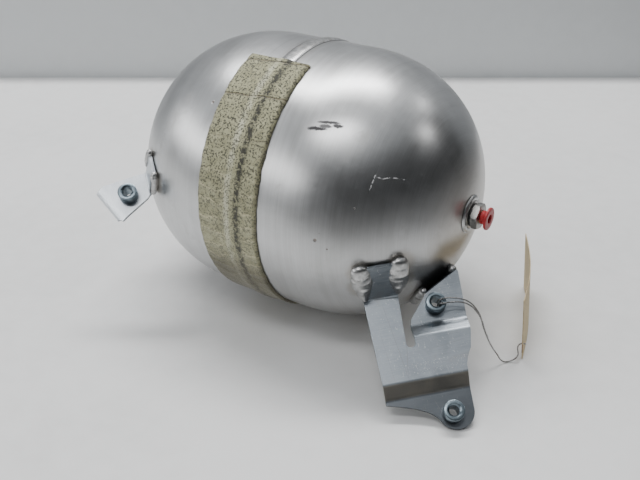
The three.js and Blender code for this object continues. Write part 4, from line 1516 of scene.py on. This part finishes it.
# %% Zinc, steel, brass and rubber
def turned_metal(name, centre, axis, dull, bright, roughness, ring_pitch, grime):
    metal = Finish(name, Metallic=1.0)
    point, x, y, z = metal.place(centre)
    zero = Vector((0, 0, 0))
    height_on_axis = metal.along(point, axis, zero)
    square = metal.add("ShaderNodeVectorMath", {"operation": "DOT_PRODUCT"},
                       {0: point, 1: point})
    radius = (metal.out(square, "Value") - height_on_axis * height_on_axis).through(
        "MAXIMUM", 0.0).through("SQRT")
    rings = metal.noise(metal.vector(radius / ring_pitch, height_on_axis / ring_pitch, 0.0),
                        1.0, 2.0, 0.6)
    cloud = metal.noise(point, 210, 4.0, 0.6, 0.4)
    grain = metal.noise(point, 1900, 2.0, 0.6)
    colour = metal.mix((rings * 0.5 + cloud * 0.5).between(0.3, 0.7), dull, bright)
    dirt = cloud.between(0.55, 0.70)
    colour = metal.mix(dirt * grime, colour, (0.10, 0.095, 0.085))
    rough = roughness + (rings - 0.5) * 0.16 + (cloud - 0.5) * 0.2
    return metal.finish(colour=colour, roughness=rough, height=rings * 0.5 + grain * 0.3,
                        depth=0.00003)


for bush, seat in zip(bushes, long_holes + [short_hole]):
    wear(bush, turned_metal(bush.name + "_zinc", seat, face_normal, (0.12, 0.15, 0.17),
                            (0.27, 0.33, 0.37), 0.32, 0.00035, 0.35))
wear(hex_bar, turned_metal("plated_hexagon", vessel_middle, x_axis, (0.30, 0.295, 0.28),
                           (0.50, 0.495, 0.475), 0.40, 0.0004, 0.5))
wear(collet, turned_metal("brass_collet", vessel_middle, x_axis, (0.52, 0.37, 0.15),
                          (0.74, 0.57, 0.28), 0.30, 0.0003, 0.35))


def soft_plastic(name, dark, light, roughness, dust, centre=vessel_middle, coat=0.0):
    plastic = Finish(name, **{"Metallic": 0.0, "Coat Weight": coat, "Coat Roughness": 0.25})
    point, x, y, z = plastic.place(centre)
    cloud = plastic.noise(point, 180, 4.0, 0.6)
    grain = plastic.noise(point, 1600, 2.0, 0.6)
    scuff = plastic.noise(plastic.vector(x * 300, y * 1300, z * 900), 1.0, 2.0, 0.7)
    colour = plastic.mix(cloud.between(0.3, 0.7), dark, light)
    worn = scuff.between(0.60, 0.72)
    colour = plastic.mix(worn * dust, colour, (0.55, 0.52, 0.50))
    rough = roughness + (cloud - 0.5) * 0.2 + worn * 0.15
    return plastic.finish(colour=colour, roughness=rough, height=grain * 0.35 + scuff * 0.5,
                          depth=0.00004)


wear(plug, soft_plastic("red_plug_plastic", (0.33, 0.008, 0.012), (0.52, 0.016, 0.020), 0.38,
                        0.06, coat=0.1))
wear(gasket, soft_plastic("gasket_rubber", (0.012, 0.012, 0.012), (0.03, 0.03, 0.03), 0.62, 0.2))
wear(seal, soft_plastic("seal_rubber", (0.012, 0.012, 0.012), (0.03, 0.03, 0.03), 0.55, 0.1))


def wire_steel(name):
    steel = Finish(name, Metallic=1.0)
    point, x, y, z = steel.place()
    drawn = steel.noise(point, 700, 3.0, 0.6)
    rust = steel.noise(point, 190, 3.0, 0.6, w=3.0)
    colour = steel.mix(drawn.between(0.3, 0.7), (0.16, 0.155, 0.15), (0.36, 0.355, 0.35))
    colour = steel.mix(rust.between(0.58, 0.68) * 0.5, colour, (0.13, 0.075, 0.04))
    rough = 0.36 + (drawn - 0.5) * 0.3
    return steel.finish(colour=colour, roughness=rough, height=drawn, depth=0.00004)


wire_finish = wire_steel("drawn_wire_steel")
for strand in (tag_wire, tag_tail):
    strand.data.materials.append(wire_finish)

# %% [markdown]
# ## Felt
# The strip is khaki felt. Fine black specks of dirt sit in it, its ridge has a painted highlight
# on one flank and painted shade on the other, it is darker towards its lower end under the belly,
# and where it is pulled round the belly it has creased.

# %% Felt finish
cloth = Finish("khaki_felt", **{"Sheen Weight": 0.25, "Sheen Roughness": 0.6,
                                "Specular IOR Level": 0.25})
point, x, y, z = cloth.place(vessel_middle)
radius, turn_y, turn_z = round_axis(y, z)
angle = (y * -1).through("ARCTAN2", z)
along_strip = angle * vessel_radius
speck_fine = cloth.cells(point, 900)
speck_noise = cloth.noise(point, 720, 2.0, 0.6)
fibre = cloth.noise(cloth.vector(x * 900, along_strip * 350, radius * 600), 1.0, 3.0, 0.7, 1.5)
cloud = cloth.noise(point, 45, 4.0, 0.6, 0.3)
patchy = cloth.noise(point, 130, 3.0, 0.6, w=2.5)
colour = cloth.mix((fibre * 0.5 + patchy * 0.5).between(0.3, 0.7), (0.27, 0.26, 0.15),
                   (0.47, 0.455, 0.29))
upper = angle.between(1.75, 0.9)
dots = speck_noise.between(0.515, 0.575) * (0.62 + upper * 0.38)
dots = dots * cloud.between(0.22, 0.42)
creased_lean = along_strip + x * 0.02
wander = cloth.noise(point, 60, 2.0, 0.5, w=7.0)
crease_phase = creased_lean * (2 * math.pi / 0.0108) + wander * 9.0
crease_wave = crease_phase.through("SINE") * 0.5 + 0.5
off_ridge = x.through("ABSOLUTE").between(0.0045, 0.0085)
lower = angle.between(1.05, 1.35) * angle.between(2.35, 1.95)
crease_line = crease_wave.between(0.90, 0.99) * lower * off_ridge * patchy.between(0.25, 0.5)
colour = cloth.mix(crease_line * 0.75, colour, (0.56, 0.52, 0.33))
brown_wave = ((along_strip + x * 0.1 + wander * 0.004) * (2 * math.pi / 0.031)).through("SINE")
brown_line = brown_wave.between(0.985, 0.998) * angle.between(1.1, 0.8)
colour = cloth.mix(brown_line * 0.6, colour, (0.13, 0.095, 0.05))
# Painted highlight on the ridge's -X flank, painted shade on its +X flank.
painted_flank_highlight = x.between(-0.0085, -0.0045) * x.between(-0.0004, -0.0028)
painted_flank_shade = x.between(0.0012, 0.0030) * x.between(0.0082, 0.0050)
colour = cloth.mix(painted_flank_highlight * patchy.between(0.25, 0.65), colour, (0.56, 0.55, 0.40))
blotch = cloth.noise(point, 330, 3.0, 0.6, w=9.0).between(0.42, 0.56)
colour = cloth.mix(painted_flank_shade * (0.25 + blotch * 0.75), colour, (0.06, 0.058, 0.042))
colour = cloth.mix(dots * 0.88, colour, (0.035, 0.034, 0.024))
# The strip is darker towards its lower end, under the belly.
darker_lower_end = angle.between(1.75, 2.05)
colour = cloth.mix(darker_lower_end * (0.55 + cloud * 0.5), colour, (0.07, 0.058, 0.03))
edge_dirt = x.between(0.0165, 0.0195) + x.between(-0.0265, -0.0295)
colour = cloth.mix(edge_dirt * patchy.between(0.4, 0.6) * 0.6, colour, (0.10, 0.09, 0.055))
height = (fibre * 0.5 + speck_noise * 0.5 + patchy * 1.2 - dots * 0.6
          + crease_wave * lower * off_ridge * 1.6 - brown_line * 2.0 + speck_fine * 0.3)
rough = 0.86 + (fibre - 0.5) * 0.2
wear(felt, cloth.finish(colour=colour, roughness=rough, height=height, depth=0.00035))

# %% [markdown]
# The tag is thin manila card, with soiled edges and a darker fibre patch round its eyelet.


# %% Card and patch finishes
def paper(name, pale, deep, soil, fibre_scale):
    sheet_finish = Finish(name, **{"Specular IOR Level": 0.3})
    point, x, y, z = sheet_finish.place(card_near)
    along = sheet_finish.along(point, card_away, Vector((0, 0, 0)))
    up = sheet_finish.along(point, card_up, Vector((0, 0, 0)))
    fibres = sheet_finish.noise(point, fibre_scale, 4.0, 0.65, 0.8)
    cloud = sheet_finish.noise(point, 60, 4.0, 0.6)
    colour = sheet_finish.mix((fibres * 0.5 + cloud * 0.5).between(0.3, 0.7), deep, pale)
    edge = up.between(0.003, 0.0) + up.between(0.047, 0.05) + along.between(0.003, 0.0)
    colour = sheet_finish.mix(edge.through("MINIMUM", 1.0) * cloud.between(0.35, 0.6) * 0.6,
                              colour, soil)
    smudge = cloud.between(0.60, 0.72)
    colour = sheet_finish.mix(smudge * 0.35, colour, soil)
    rough = 0.72 + (fibres - 0.5) * 0.2
    return sheet_finish.finish(colour=colour, roughness=rough, height=fibres, depth=0.00008)


wear(card, paper("manila_card_stock", (0.72, 0.60, 0.38), (0.58, 0.46, 0.27),
                 (0.28, 0.19, 0.10), 900))
wear(patch, paper("fibre_patch_stock", (0.38, 0.17, 0.07), (0.25, 0.10, 0.045),
                  (0.12, 0.06, 0.03), 1400))
